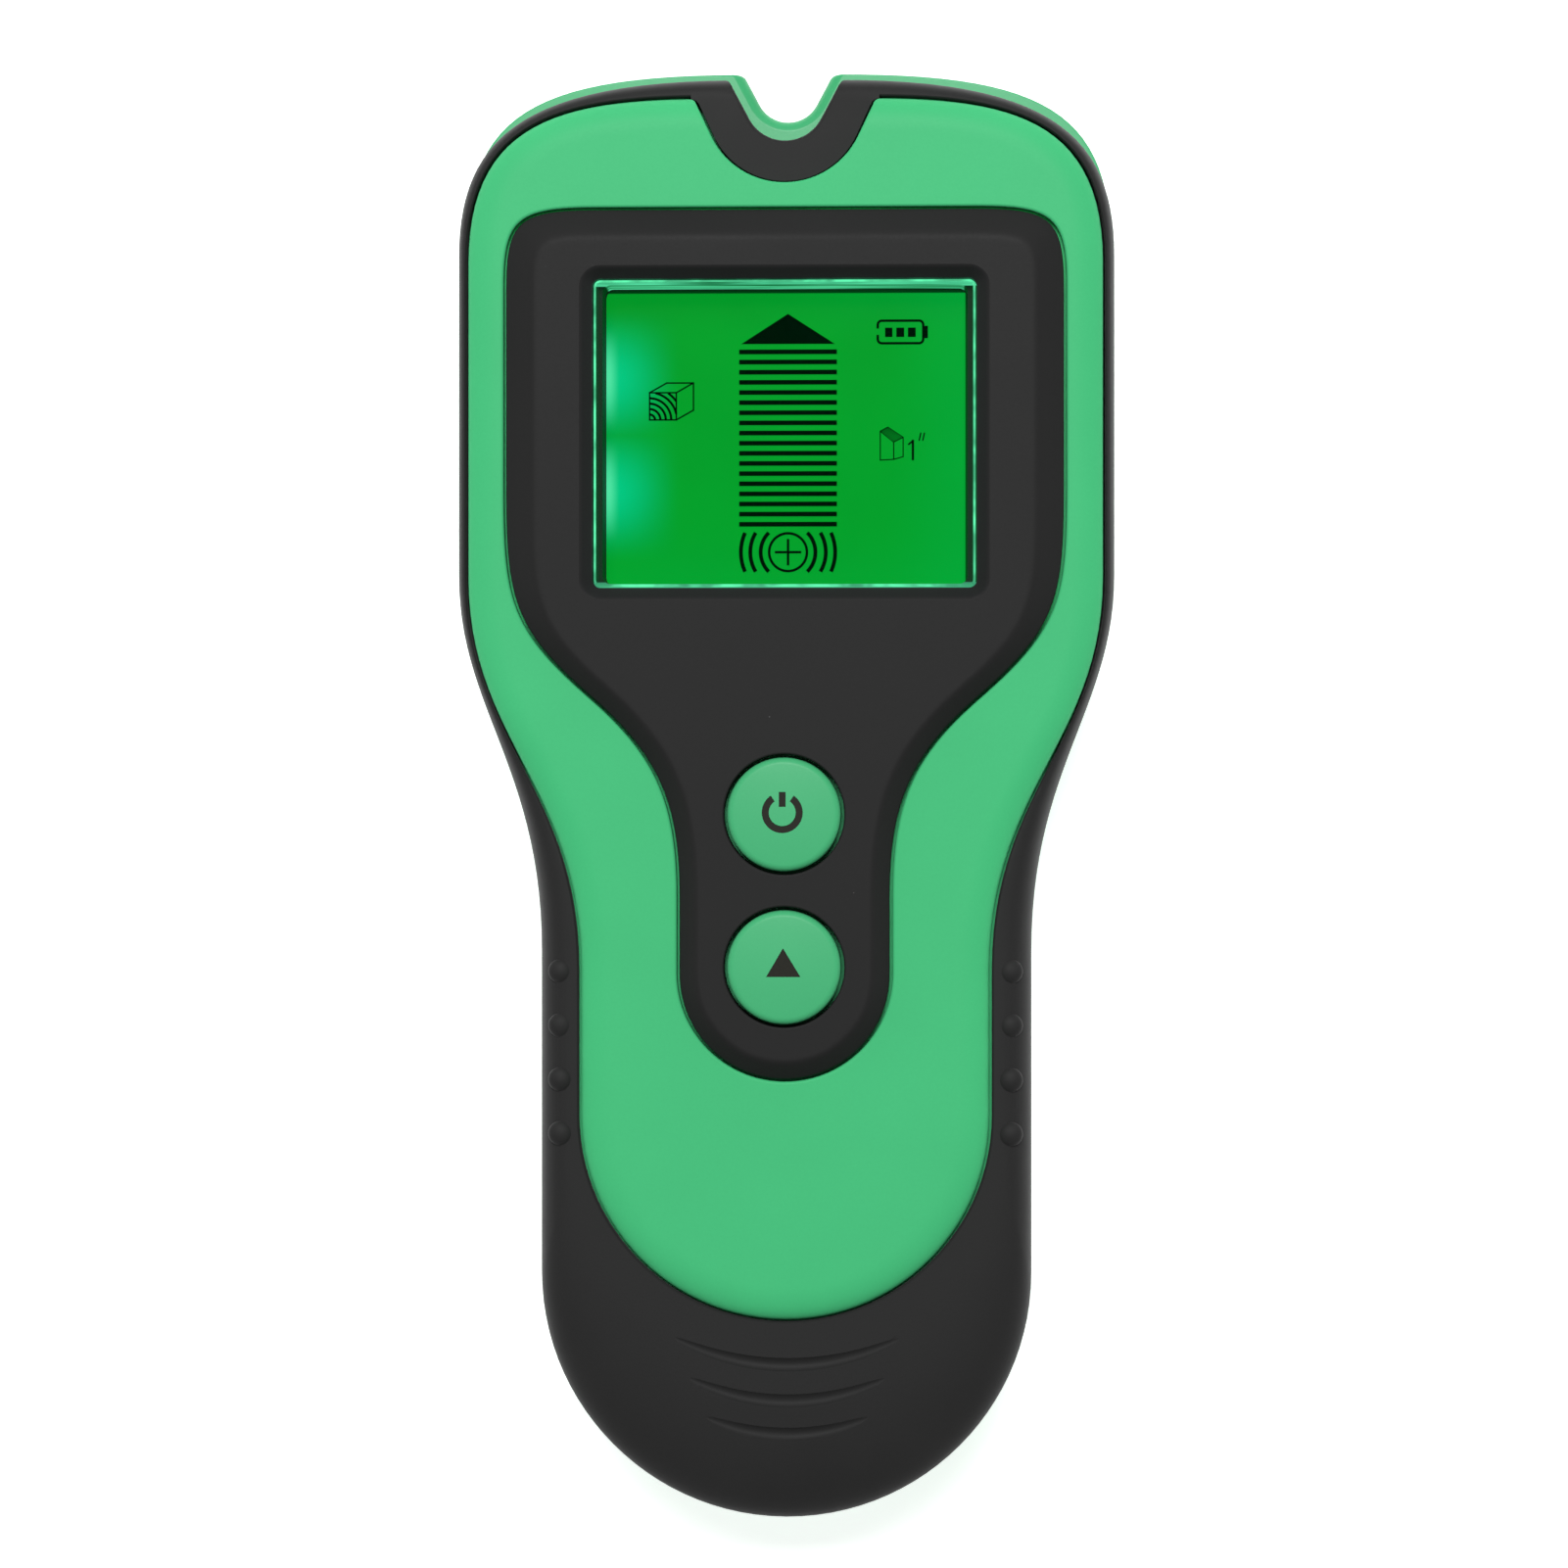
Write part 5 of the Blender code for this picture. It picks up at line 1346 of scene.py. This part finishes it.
@dataclass(frozen=True)
class GripJacket:
    """Black overmoulded jacket with thumb bumps at the waist and finger grooves on the heel."""

    case: CaseLines
    edge_round: float = 0.3 * MM
    bump_radius: float = 1.35 * MM
    bump_half: float = 0.8 * MM
    bump_sunk: float = 0.42 * MM
    bump_pitch: float = 5.92 * MM
    bump_inset: float = 2.35 * MM
    bump_first: float = 99.2 * MM
    bumps: int = 4
    lip: float = 1.3 * MM
    groove_radius: float = 0.85 * MM
    groove_shift: float = 0.2 * MM
    grooves: tuple[HeelGroove, ...] = (
        HeelGroove(13.4 * MM, 17.3 * MM, 27.4 * MM),
        HeelGroove(11.6 * MM, 13.3 * MM, 24.1 * MM),
        HeelGroove(9.6 * MM, 9.6 * MM, 21.7 * MM),
    )

    def build(self) -> None:
        """Lofts the jacket, hollows it, cuts the notch and adds the grip details."""
        c = self.case
        low = c.parting + GAP
        line = c.jacket_line
        jacket = Piece("grip", lofted([
            at(line.inset(0.3 * MM).points(), low),
            at(line.inset(0.09 * MM).points(), low + 0.09 * MM),
            at(line.points(), low + 0.3 * MM),
            *c.shoulder(0.0, c.panel_line, 0.0)]))
        wide = c.panel_line.inset(-GAP)
        inner = [at(line.inset(c.jacket).points(), 0.0), *c.shoulder(c.jacket, wide, c.jacket, 8)]
        for degrees in (0, 18, 36, 54, 72):
            angle = math.radians(degrees)
            grow = self.edge_round * (1 - math.cos(angle))
            inner.append(at(wide.inset(-grow).points(), c.rim_face - self.edge_round * (1 - math.sin(angle))))
        inner.append(at(wide.inset(-self.edge_round).points(), c.rim_face + 0.1 * MM))
        inner.append(at(wide.inset(-self.edge_round).points(), c.bezel_face))
        hollow = Piece("hollow", lofted(inner))
        above = 2 * c.bezel_face
        hollow.cut(
            prism(c.marking_notch(c.jacket), -MM, above),
            prism(
                c.surround(-GAP / 2, FrontShell.corner_round), c.panel_face - FrontShell.ledge + GAP, above))
        jacket.cut(hollow)
        jacket.cut(flared(
            lambda grow: c.marking_notch(grow, self.lip), -MM, c.rim_face, 0.5 * MM, above))
        for bump in self.bump_meshes():
            jacket.join(bump)
        for groove in self.grooves:
            jacket.cut(self.groove_mesh(groove))
        jacket.dress(RUBBER, Body.CASE, "black_rubber", "grip_jacket")

    def bump_meshes(self) -> list[bmesh.types.BMesh]:
        """Flattened balls that lie on the shoulder, four on each side."""
        c = self.case
        x = c.handle - self.bump_inset
        first = c.datum - self.bump_first
        step = 1.0 * MM
        rise = c.shoulder_height(x - step, first - 9 * MM) - c.shoulder_height(x + step, first - 9 * MM)
        lean = math.atan2(rise, 2 * step)
        meshes = []
        for side in (-1, 1):
            for i in range(self.bumps):
                y = first - i * self.bump_pitch
                place = Matrix.Translation((side * x, y, c.shoulder_height(x, y)))
                sunk = Matrix.Translation((0.0, 0.0, -self.bump_sunk))
                shape = Matrix.Diagonal((self.bump_radius, self.bump_radius, self.bump_half, 1.0))
                bm = bmesh.new()
                bmesh.ops.create_uvsphere(
                    bm, u_segments=32, v_segments=16, radius=1.0,
                    matrix=place @ Matrix.Rotation(side * lean, 4, "Y") @ sunk @ shape)
                meshes.append(bm)
        return meshes

    def groove_mesh(self, groove: HeelGroove) -> bmesh.types.BMesh:
        """A bent, tapering rod that cuts one groove into the heel."""
        c = self.case
        middle = c.bottom + groove.lowest + groove.radius
        sweep = math.asin(groove.half / groove.radius)
        rings, steps = [], 40
        for i in range(steps + 1):
            t = i / steps
            angle = -math.pi / 2 - sweep + 2 * sweep * t
            across = Vector((math.cos(angle), math.sin(angle), 0.0))
            x, y = self.groove_shift + groove.radius * across.x, middle + groove.radius * across.y
            thick = self.groove_radius * max(0.12, math.sin(math.pi * t) ** 0.4)
            centre = Vector((x, y, c.shoulder_height(x, y) + 0.45 * self.groove_radius))
            ring = []
            for k in range(20):
                turn = 2 * math.pi * k / 20
                outward = math.cos(turn) * across + math.sin(turn) * Vector((0, 0, 1))
                ring.append(tuple(centre + thick * outward))
            rings.append(ring)
        return lofted(rings)


@dataclass(frozen=True)
class CenterBezel:
    """Black centre bezel: sloped plateau, light tunnel, lens seat and two button holes."""

    case: CaseLines
    button_hole: float = 6.555 * MM
    slope: tuple[float, float] = (3.25 * MM, 2.05 * MM)
    chamfer: float = 1.35 * MM
    profile: tuple[tuple[float, float], ...] = (
        (0.0, 0.04), (0.012, 0.10), (0.045, 0.17), (0.10, 0.235), (0.30, 0.42), (0.55, 0.66), (0.74, 0.835),
        (0.84, 0.915), (0.92, 0.965), (1.0, 0.992), (1.08, 1.0), (1.2, 1.0))

    def build(self) -> None:
        """Lofts the plateau, adds the tunnel and cuts the window and the holes."""
        c = self.case
        line = c.bezel_line
        rise = c.bezel_face - c.panel_face
        under = c.panel_face - c.skin
        rings = [at(line.points(), under)]
        for inward, up in self.profile:
            plan = line.inset(self.slope[0] * inward, self.slope[1] * inward).points()
            rings.append(at(plan, c.panel_face + rise * up))
        bezel = Piece("bezel", lofted(rings))
        tunnel_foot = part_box("center_bezel")[0][2]
        bezel.join(prism(c.window_plan(c.window, 1.0 * MM), tunnel_foot, c.panel_face))
        bezel.cut(
            lofted(self.window_rings()),
            prism(c.window_plan(c.window), c.lens_low - GAP, c.lens_top + GAP),
            prism(c.window_plan(c.view), 0.0, 2 * c.bezel_face))
        for name in ("power_button", "mode_button"):
            y = centre_of(name)[1]
            bezel.cut(flared(
                lambda grow, y=y: circle(0.0, y, self.button_hole + grow), 0.0, c.bezel_face, 0.22 * MM,
                2 * c.bezel_face))
        bezel.dress(BLACK, Body.CASE, "black_abs", "center_bezel")
        half = (c.view[0] / 2, c.view[1] / 2)
        # The tunnel walls under the lens get a painted reflection of the backlight, as emitted light.
        glow = PaintedTunnelReflection("tunnel_glow", (0.0, c.window_y), half, srgb(90, 232, 170), srgb(4, 96, 48), 1.0)
        bezel.paint_where(glow, lambda p: self.in_window(p, 0.0) and p.z < c.lens_low)
        # The chamfered seat round the lens gets the darker black: painted shade in the recess.
        bezel.paint_where(SHADOW_BLACK, lambda p: (
            self.in_window(p, self.chamfer - 0.2 * MM) and c.lens_low < p.z < c.bezel_face - 0.05 * MM))

    def in_window(self, place: Vector, grow: float) -> bool:
        """Whether a place is over the window, grown outwards."""
        wide, tall = (size / 2 + grow for size in self.case.window)
        return abs(place.x) < wide and abs(place.y - self.case.window_y) < tall

    def window_rings(self) -> list[Ring]:
        """Rings of the chamfered seat round the lens, with a soft upper edge."""
        c = self.case
        drop = c.bezel_face - c.lens_top
        rings = [at(c.window_plan(c.window), c.lens_top)]
        for out, up in ((0.72, 0.80), (0.84, 0.90), (0.93, 0.96), (1.0, 0.99)):
            rings.append(at(c.window_plan(c.window, self.chamfer * out), c.lens_top + drop * up))
        rings.append(at(c.window_plan(c.window, self.chamfer * 1.1), c.bezel_face + 0.05 * MM))
        rings.append(at(c.window_plan(c.window, self.chamfer * 1.1), c.bezel_face + MM))
        return rings


# --------------------------------------------------------------------------- the display


class MarkSheet:
    """Collects flat marks of one thickness into one mesh."""

    def __init__(self, origin: tuple[float, float], low: float, high: float) -> None:
        """Starts an empty sheet about an origin, between two heights."""
        self.origin = origin
        self.low, self.high = low, high
        self.parts: list[bmesh.types.BMesh] = []

    def shape(self, plan: Plan) -> None:
        """A filled shape, in the sheet's own millimetres."""
        placed = [(self.origin[0] + x * MM, self.origin[1] + y * MM) for x, y in plan]
        self.parts.append(prism(placed, self.low, self.high))

    def bar(self, x0: float, x1: float, y0: float, y1: float) -> None:
        """A filled upright rectangle."""
        self.shape([(x0, y0), (x1, y0), (x1, y1), (x0, y1)])

    def stroke(self, width: float, *places: tuple[float, float]) -> None:
        """Straight strokes from place to place."""
        for (ax, ay), (bx, by) in zip(places, places[1:]):
            length = math.hypot(bx - ax, by - ay)
            ux, uy = (bx - ax) / length * width / 2, (by - ay) / length * width / 2
            self.shape([
                (ax - ux - uy, ay - uy + ux), (ax - ux + uy, ay - uy - ux),
                (bx + ux + uy, by + uy - ux), (bx + ux - uy, by + uy + ux)])

    def arc(self, x: float, y: float, radius: float, width: float, start: float, end: float) -> None:
        """A bent stroke."""
        self.shape(arc_band(x, y, radius, width, start, end))

    def ring(self, x: float, y: float, radius: float, width: float) -> None:
        """A full circle, as a turned band."""
        inner, outer = (radius - width / 2) * MM, (radius + width / 2) * MM
        self.parts.append(turned(
            self.origin[0] + x * MM, self.origin[1] + y * MM,
            [(inner, self.low), (outer, self.low), (outer, self.high), (inner, self.high)]))

    def mesh(self) -> bmesh.types.BMesh:
        """All the marks as one mesh."""
        return merged(self.parts)


@dataclass(frozen=True)
class Display:
    """Lens, liquid crystal panel and the marks that it shows."""

    case: CaseLines
    lens_bevel: float = 0.26 * MM
    mark_low: float = 0.01 * MM
    mark_high: float = 0.05 * MM
    mark_drop: float = 0.3 * MM
    bars: int = 18

    def build(self) -> None:
        """Makes the lens, the panel and its marks."""
        self.build_lens()
        self.build_panel()
        c = self.case
        sheet = MarkSheet(
            (0.0, c.window_y - self.mark_drop), c.glass_top + self.mark_low, c.glass_top + self.mark_high)
        self.arrow(sheet)
        self.target(sheet)
        self.battery(sheet)
        self.timber_block(sheet)
        self.depth_block(sheet)
        Piece("lcd_marks", sheet.mesh()).dress(SEGMENT_INK, Body.CASE, "black_abs")

    def build_lens(self) -> None:
        """The clear lens, with a painted glow on its bevelled edges."""
        c, b = self.case, self.lens_bevel
        lens = Piece("lens", lofted([
            at(c.window_plan(c.window, -GAP / 2 - b / 2), c.lens_low),
            at(c.window_plan(c.window, -GAP / 2), c.lens_low + b / 2),
            at(c.window_plan(c.window, -GAP / 2), c.lens_top - b),
            at(c.window_plan(c.window, -GAP / 2 - b), c.lens_top)]))
        acrylic = ClearAcrylic("clear_acrylic", (0.0, 0.03, 0.01), 0.06)
        lens.dress(acrylic, Body.CASE, "clear_acrylic", "display_lens")
        wide, tall = c.window[0] / 2 - GAP / 2 - b, c.window[1] / 2 - GAP / 2 - b
        # The bevel faces get painted light: an emitted glow standing in for the backlight at the lens edge.
        lens.paint_where(
            PaintedEdgeGlow("lens_edge", srgb(96, 240, 172), 1.0),
            lambda p: p.z > c.lens_low + b and (abs(p.x) > wide or abs(p.y - c.window_y) > tall))

    def build_panel(self) -> None:
        """The liquid crystal panel's glass with its backlit face."""
        c = self.case
        low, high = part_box("lcd_glass")
        size = size_of("lcd_glass")
        edge = 0.2 * MM
        panel = Piece("lcd_panel", lofted([
            at(c.window_plan(size), low[2]), at(c.window_plan(size), high[2] - edge),
            at(c.window_plan(size, -edge), high[2])]))
        panel.dress(
            BacklitGlass(
                "lcd_green", (0.0, c.window_y), (c.view[0] / 2, c.view[1] / 2), srgb(1, 159, 40),
                srgb(2, 175, 62), srgb(0, 216, 150), srgb(90, 244, 178), 6.2 * MM, -0.4 * MM, 0.95),
            Body.CASE, "lcd_green", "lcd_glass")

    def arrow(self, sheet: MarkSheet) -> None:
        """The pointer: a flat triangle over a ladder of bars."""
        u = 0.15
        sheet.shape([(u - 5.18, 10.75), (u + 5.18, 10.75), (u, 14.08)])
        half, thick, first, pitch = 5.41, 0.26, 9.88, 1.121
        for i in range(self.bars):
            v = first - pitch * i
            sheet.bar(u - half, u + half, v - thick, v + thick)

    def target(self, sheet: MarkSheet) -> None:
        """The plus in a circle, with three waves on each side."""
        u, v = 0.15, -12.27
        arm, rise = 1.33, 2.16
        sheet.ring(u, v, 2.09, 0.29)
        sheet.stroke(0.27, (u - arm, v), (u + arm, v))
        sheet.stroke(0.27, (u, v - arm), (u, v + arm))
        for radius in (3.03, 4.18, 5.22):
            reach = math.degrees(math.asin(rise / radius))
            for facing in (0, 180):
                sheet.arc(u, v, radius, 0.43, facing - reach, facing + reach)

    def battery(self, sheet: MarkSheet) -> None:
        """The battery gauge with three full cells and a small break in its frame."""
        left, right, low, high, corner, width = 10.07, 15.09, 10.80, 13.29, 0.45, 0.27
        for x, y, start in ((right, high, 0), (left, high, 90), (left, low, 180), (right, low, 270)):
            cx = x - corner if x == right else x + corner
            cy = y - corner if y == high else y + corner
            sheet.arc(cx, cy, corner, width, start, start + 90)
        sheet.bar(left + corner, right - corner, low - width / 2, low + width / 2)
        sheet.bar(left + corner, right - corner, high - width / 2, high + width / 2)
        sheet.bar(right - width / 2, right + width / 2, low + corner, high - corner)
        sheet.bar(left - width / 2, left + width / 2, 12.42, high - corner)
        sheet.bar(left - width / 2, left + width / 2, low + corner, 11.74)
        for x0, x1 in ((10.88, 11.69), (12.12, 12.99), (13.40, 14.26)):
            sheet.bar(x0, x1, 11.49, 12.52)
        sheet.bar(15.2, 15.61, 11.35, 12.72)

    def timber_block(self, sheet: MarkSheet) -> None:
        """A block of wood in outline, with growth rings on its end."""
        left, right, low, high = -15.18, -12.22, 2.39, 5.40
        back_x, back_y = 1.9, 1.07
        width = 0.16
        sheet.stroke(width, (left, low), (right, low), (right, high), (left, high), (left, low))
        sheet.stroke(
            width, (left, high), (left + back_x, high + back_y), (right + back_x, high + back_y),
            (right + back_x, low + back_y), (right, low))
        sheet.stroke(width, (right, high), (right + back_x, high + back_y))
        for radius in (0.6, 1.2, 1.8, 2.4):
            sheet.arc(left, low, radius, 0.26, 0, 90)
        for radius in (3.03, 3.6):
            start = math.degrees(math.acos((right - left) / radius))
            sheet.arc(left, low, radius, 0.26, start, 90 - start)

    def depth_block(self, sheet: MarkSheet) -> None:
        """A cut board in outline beside the numeral 1 and an inch mark."""
        width, grain = 0.12, 5
        left, corner, right = (10.35, 1.08), (11.83, -0.11), (12.87, 0.40)
        back, left_foot, corner_foot = (11.18, 1.52), (10.35, -2.11), (11.83, -2.03)
        sheet.stroke(width, left, corner, corner_foot, left_foot, left)
        sheet.stroke(width, left, back, right, (12.87, -1.74), corner_foot)
        sheet.stroke(width, corner, right)
        for i in range(grain):
            t = (i + 1) / (grain + 1)
            sheet.stroke(0.09, (left[0] + 0.83 * t, left[1] + 0.44 * t), (
                corner[0] + 1.04 * t, corner[1] + 0.51 * t))
        sheet.stroke(0.26, (13.95, -2.0), (13.95, 0.0))
        sheet.stroke(0.2, (13.5, -0.35), (13.95, 0.0))
        for x in (14.65, 15.05):
            sheet.stroke(0.15, (x, 0.10), (x + 0.17, 0.85))


# --------------------------------------------------------------------------- buttons, door, label


class Mark(Enum):
    """What is marked on a button."""

    POWER = "power"
    TRIANGLE = "triangle"


@dataclass(frozen=True)
class PushButton:
    """A round green button with a two-shot mark."""

    case: CaseLines
    node: str
    body: Body
    mark: Mark
    flange: float = 1.3 * MM
    flange_thick: float = 1.2 * MM
    stem_radius: float = 2.2 * MM
    edge_round: float = 0.75 * MM
    crown: float = 0.22 * MM
    top_spare: float = 0.05 * MM
    recess: float = 0.22 * MM
    ink_drop: float = 0.04 * MM
    radius: float = 6.175 * MM

    def build(self) -> None:
        """Turns the cap, joins its stem, sinks the mark and lays the ink in it."""
        low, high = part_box(self.node)
        x, y = centre_of(self.node)
        flange_top = self.case.panel_face - self.case.skin - GAP
        flange_foot, rim = flange_top - self.flange_thick, self.radius + self.flange
        top = high[2] - self.top_spare
        profile = [(0.0, flange_foot), (rim, flange_foot), (rim, flange_top), (self.radius, flange_top)]
        for i in range(9):
            angle = math.pi / 2 * i / 8
            profile.append((
                self.radius - self.edge_round * (1 - math.cos(angle)),
                top - self.crown - self.edge_round * (1 - math.sin(angle))))
        flat = self.radius - self.edge_round
        for share in (0.85, 0.7, 0.5, 0.25, 0.0):
            profile.append((flat * share, top - self.crown * share**2))
        cap = Piece(self.node + "_cap", turned(x, y, profile, 96))
        stem_y = centre_of(self.node.replace("button", "switch_plunger"))[1]
        cap.join(prism(circle(x, stem_y, self.stem_radius), low[2], flange_top - 0.5 * MM))
        floor = top - self.recess
        for part in self.sheet(x, y, floor, high[2] + MM).parts:
            cap.cut(part)
        cap.dress(BUTTON_GREEN, self.body, "green_abs", self.node)
        ink = self.sheet(x, y, floor + 0.01 * MM, top - 3 * self.ink_drop)
        Piece(self.node + "_mark", ink.mesh()).dress(MARK_INK, self.body, "black_abs")

    def sheet(self, x: float, y: float, low: float, high: float) -> MarkSheet:
        """The mark's shapes, to cut its recess or to fill it."""
        sheet = MarkSheet((x, y), low, high)
        if self.mark is Mark.POWER:
            u, v, width, opening = -0.16, 0.20, 0.37, 34
            sheet.arc(u, v, 1.84, 0.76, 90 + opening, 450 - opening)
            sheet.bar(u - width, u + width, v + 0.62, v + 2.24)
        else:
            sheet.shape([(-1.92, -1.02), (1.82, -1.02), (-0.08, 2.10)])
        return sheet


@dataclass(frozen=True)
class BatteryDoor:
    """Battery door with its ribs and a fan of thumb grooves."""

    shell: RearShell
    groove_pitch: float = 2.4 * MM
    groove_half: float = 8.0 * MM
    groove_taper: float = 0.9 * MM
    grooves: int = 5

    def build(self) -> None:
        """Lofts the plate with a soft rim, adds the ribs and cuts the grooves."""
        low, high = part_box("battery_door")
        plan = self.shell.door_plan
        inner = low[2] + self.shell.door_thick
        rim = ((-0.5 * MM, 0.0), (-0.25 * MM, 0.05 * MM), (-0.07 * MM, 0.2 * MM), (0.0, 0.45 * MM))
        door = Piece("battery_cover", lofted([
            *(at(plan(grow), low[2] + z) for grow, z in rim), at(plan(0.0), inner)]))
        _, foot, head, _ = self.shell.bay()
        for x, y, half in self.shell.latch_pockets(foot, head):
            door.join(block(x - half, x + half, y - 0.45 * MM, y + 0.45 * MM, inner - GAP, high[2]))
        for i in range(self.grooves):
            y = high[1] - self.shell.door_corner - i * self.groove_pitch
            length = 2 * (self.groove_half - i * self.groove_taper)
            rings = []
            for grow, z in ((0.35, -0.3), (0.3, 0.0), (0.1, 0.1), (0.0, 0.25), (-0.1, 0.42), (-0.28, 0.5)):
                groove = rounded_rectangle(
                    0.0, y, length + 2 * grow * MM, (1.2 + 2 * grow) * MM, (0.55 + grow) * MM)
                rings.append(at(groove, low[2] + z * MM))
            door.cut(lofted(rings))
        door.dress(REAR_GREEN, Body.DOOR, "green_abs", "battery_door")


@dataclass(frozen=True)
class RatingLabel:
    """Plain label in the recess of the back."""

    corner: float = 1.2 * MM

    def build(self) -> None:
        """A thin sheet with a softened edge."""
        low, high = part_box("rating_label")
        middle, size = centre_of("rating_label"), size_of("rating_label")

        def plan(inset: float) -> Plan:
            """The label's outline, moved in."""
            return rounded_rectangle(*middle, size[0] - 2 * inset, size[1] - 2 * inset, self.corner - inset)

        label = Piece("back_label", lofted([
            at(plan(0.06 * MM), low[2]), at(plan(0.0), low[2] + 0.05 * MM), at(plan(0.0), high[2])]))
        label.dress(
            PlainLabel("label", middle, (size[0] / 2, size[1] / 2), srgb(205, 208, 208), srgb(70, 74, 76)),
            Body.CASE, "label", "rating_label")


class Innards:
    """The pieces inside the case, which keep their solid shape and get a finish."""

    def finishes(self) -> dict[str, Finish]:
        """Finish of each inner piece, by the start of its name."""
        low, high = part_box("battery_cell")
        wrap = BatteryWrap("battery_wrap", low[1], high[1], srgb(52, 60, 72), srgb(150, 158, 164))
        return {
            "amplifier_chip": CHIP, "controller_chip": CHIP, "backlight_led": LAMP, "light_guide": GUIDE,
            "lcd_carrier": BLACK, "display_gasket": FOAM, "lcd_connector": FOAM, "main_board": BOARD,
            "sensing_board": BOARD, "board_screw": STEEL, "battery_cell": wrap, "battery_snap": BLACK_WIRE,
            "battery_terminal": NICKEL, "lead_black": BLACK_WIRE, "lead_red": RED_WIRE, "buzzer": BLACK,
            "supply_capacitor": NICKEL, "coil_former": WHITE, "search_coil": COPPER, "electrode": FOIL,
            "sensor_header": BLACK, "mode_switch_plunger": WHITE, "power_switch_plunger": WHITE,
            "mode_switch": CHIP, "power_switch": CHIP}

    def dress(self) -> None:
        """Assigns each inner piece its finish, the longest matching name first."""
        finishes = self.finishes()
        for name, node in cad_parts.items():
            starts = [start for start in finishes if name.startswith(start)]
            if not starts:
                continue
            material = finishes[max(starts, key=len)].material()
            if node.material_slots:
                for held in node.material_slots:
                    held.material = material
            else:
                node.data.materials.append(material)
            log.info("%s: %s", name, material.name)


# --------------------------------------------------------------------------- the studio


@dataclass(frozen=True)
class SoftLight:
    """A large soft lamp."""

    name: str
    place: tuple[float, float, float]
    size: float
    watts: float


@dataclass(frozen=True)
class Studio:
    """Camera, pale floor and soft lights."""

    camera_place: tuple[float, float, float] = (0.016, 0.0008, 0.527)
    target: tuple[float, float, float] = (-0.00038, 0.0008, 0.017)
    lens: float = 105.4
    sky: float = 0.16
    floor_glow: float = 0.75
    floor_drop: float = 0.05 * MM
    lights: tuple[SoftLight, ...] = (
        SoftLight("key", (-0.02, 0.46, 1.1), 0.42, 13.5),
        SoftLight("left", (-0.75, 0.05, 0.30), 0.5, 0.45),
        SoftLight("right", (0.75, -0.05, 0.30), 0.5, 0.5),
    )

    def build(self) -> None:
        """Sets the stage up."""
        self.camera()
        for light in self.lights:
            self.lamp(light)
        self.world()
        self.floor()

    def aim(self, placed: bpy.types.Object, target: Vector, up: str) -> None:
        """Turns an object's -Z at a target."""
        toward = target - placed.location
        placed.rotation_euler = toward.to_track_quat("-Z", up).to_euler()

    def camera(self) -> None:
        """The camera over the display, its picture upright along +Y."""
        data = bpy.data.cameras.new("camera")
        data.lens = self.lens
        data.sensor_width = 36.0
        data.clip_start = 0.01
        camera = bpy.data.objects.new("camera", data)
        bpy.context.scene.collection.objects.link(camera)
        camera.location = self.camera_place
        forward = (Vector(self.target) - camera.location).normalized()
        right = forward.cross(Vector((0, 1, 0))).normalized()
        up = right.cross(forward)
        camera.rotation_euler = Matrix((right, up, -forward)).transposed().to_euler()
        bpy.context.scene.camera = camera

    def lamp(self, light: SoftLight) -> None:
        """One square area lamp aimed at the middle of the object."""
        data = bpy.data.lights.new(light.name, "AREA")
        data.size = light.size
        data.energy = light.watts
        lamp = bpy.data.objects.new(light.name, data)
        bpy.context.scene.collection.objects.link(lamp)
        lamp.location = light.place
        self.aim(lamp, Vector(self.target), "Y")

    def world(self) -> None:
        """Even white surroundings."""
        world = bpy.data.worlds.new("studio")
        world.use_nodes = True
        sky = world.node_tree.nodes["Background"]
        sky.inputs["Color"].default_value = (1.0, 1.0, 1.0, 1.0)
        seen = world.node_tree.nodes.new("ShaderNodeLightPath").outputs["Is Camera Ray"]
        strength = world.node_tree.nodes.new("ShaderNodeMath")
        strength.operation = "MULTIPLY_ADD"
        strength.inputs[1].default_value = 1.0 - self.sky
        strength.inputs[2].default_value = self.sky
        world.node_tree.links.new(seen, strength.inputs[0])
        world.node_tree.links.new(strength.outputs[0], sky.inputs["Strength"])
        bpy.context.scene.world = world
        bpy.context.scene.view_settings.view_transform = "Standard"

    def floor(self) -> None:
        """A plain white floor that glows a little, like a light table, and is clear from below."""
        bm = bmesh.new()
        bmesh.ops.create_grid(
            bm, x_segments=1, y_segments=1, size=2.0, matrix=Matrix.Translation((0.0, 0.0, -self.floor_drop)))
        mesh = bpy.data.meshes.new("floor")
        bm.to_mesh(mesh)
        bm.free()
        floor = bpy.data.objects.new("floor", mesh)
        bpy.context.scene.collection.objects.link(floor)
        graph = Graph("floor_white")
        graph.set(
            Base_Color=(0.85, 0.85, 0.85), Roughness=0.8, Emission_Color=(1.0, 1.0, 1.0),
            Emission_Strength=self.floor_glow, Specular_IOR_Level=0.1,
            Alpha=1 - graph.node("ShaderNodeNewGeometry", output="Backfacing"))
        mesh.materials.append(graph.material)


def main() -> None:
    """Builds the stud finder's pieces in order, then the studio."""
    logging.basicConfig(level=logging.INFO, format="%(name)s %(message)s")
    case = CaseLines.from_frame()
    screws = Screws(case)
    rear = RearShell(case, screws)
    for part in (
        rear, FrontShell(case, screws), GripJacket(case), CenterBezel(case), Display(case), screws,
        PushButton(case, "power_button", Body.POWER, Mark.POWER),
        PushButton(case, "mode_button", Body.MODE, Mark.TRIANGLE),
        BatteryDoor(rear), RatingLabel(),
    ):
        part.build()
    Innards().dress()
    Studio().build()


if __name__ == "__main__":
    main()
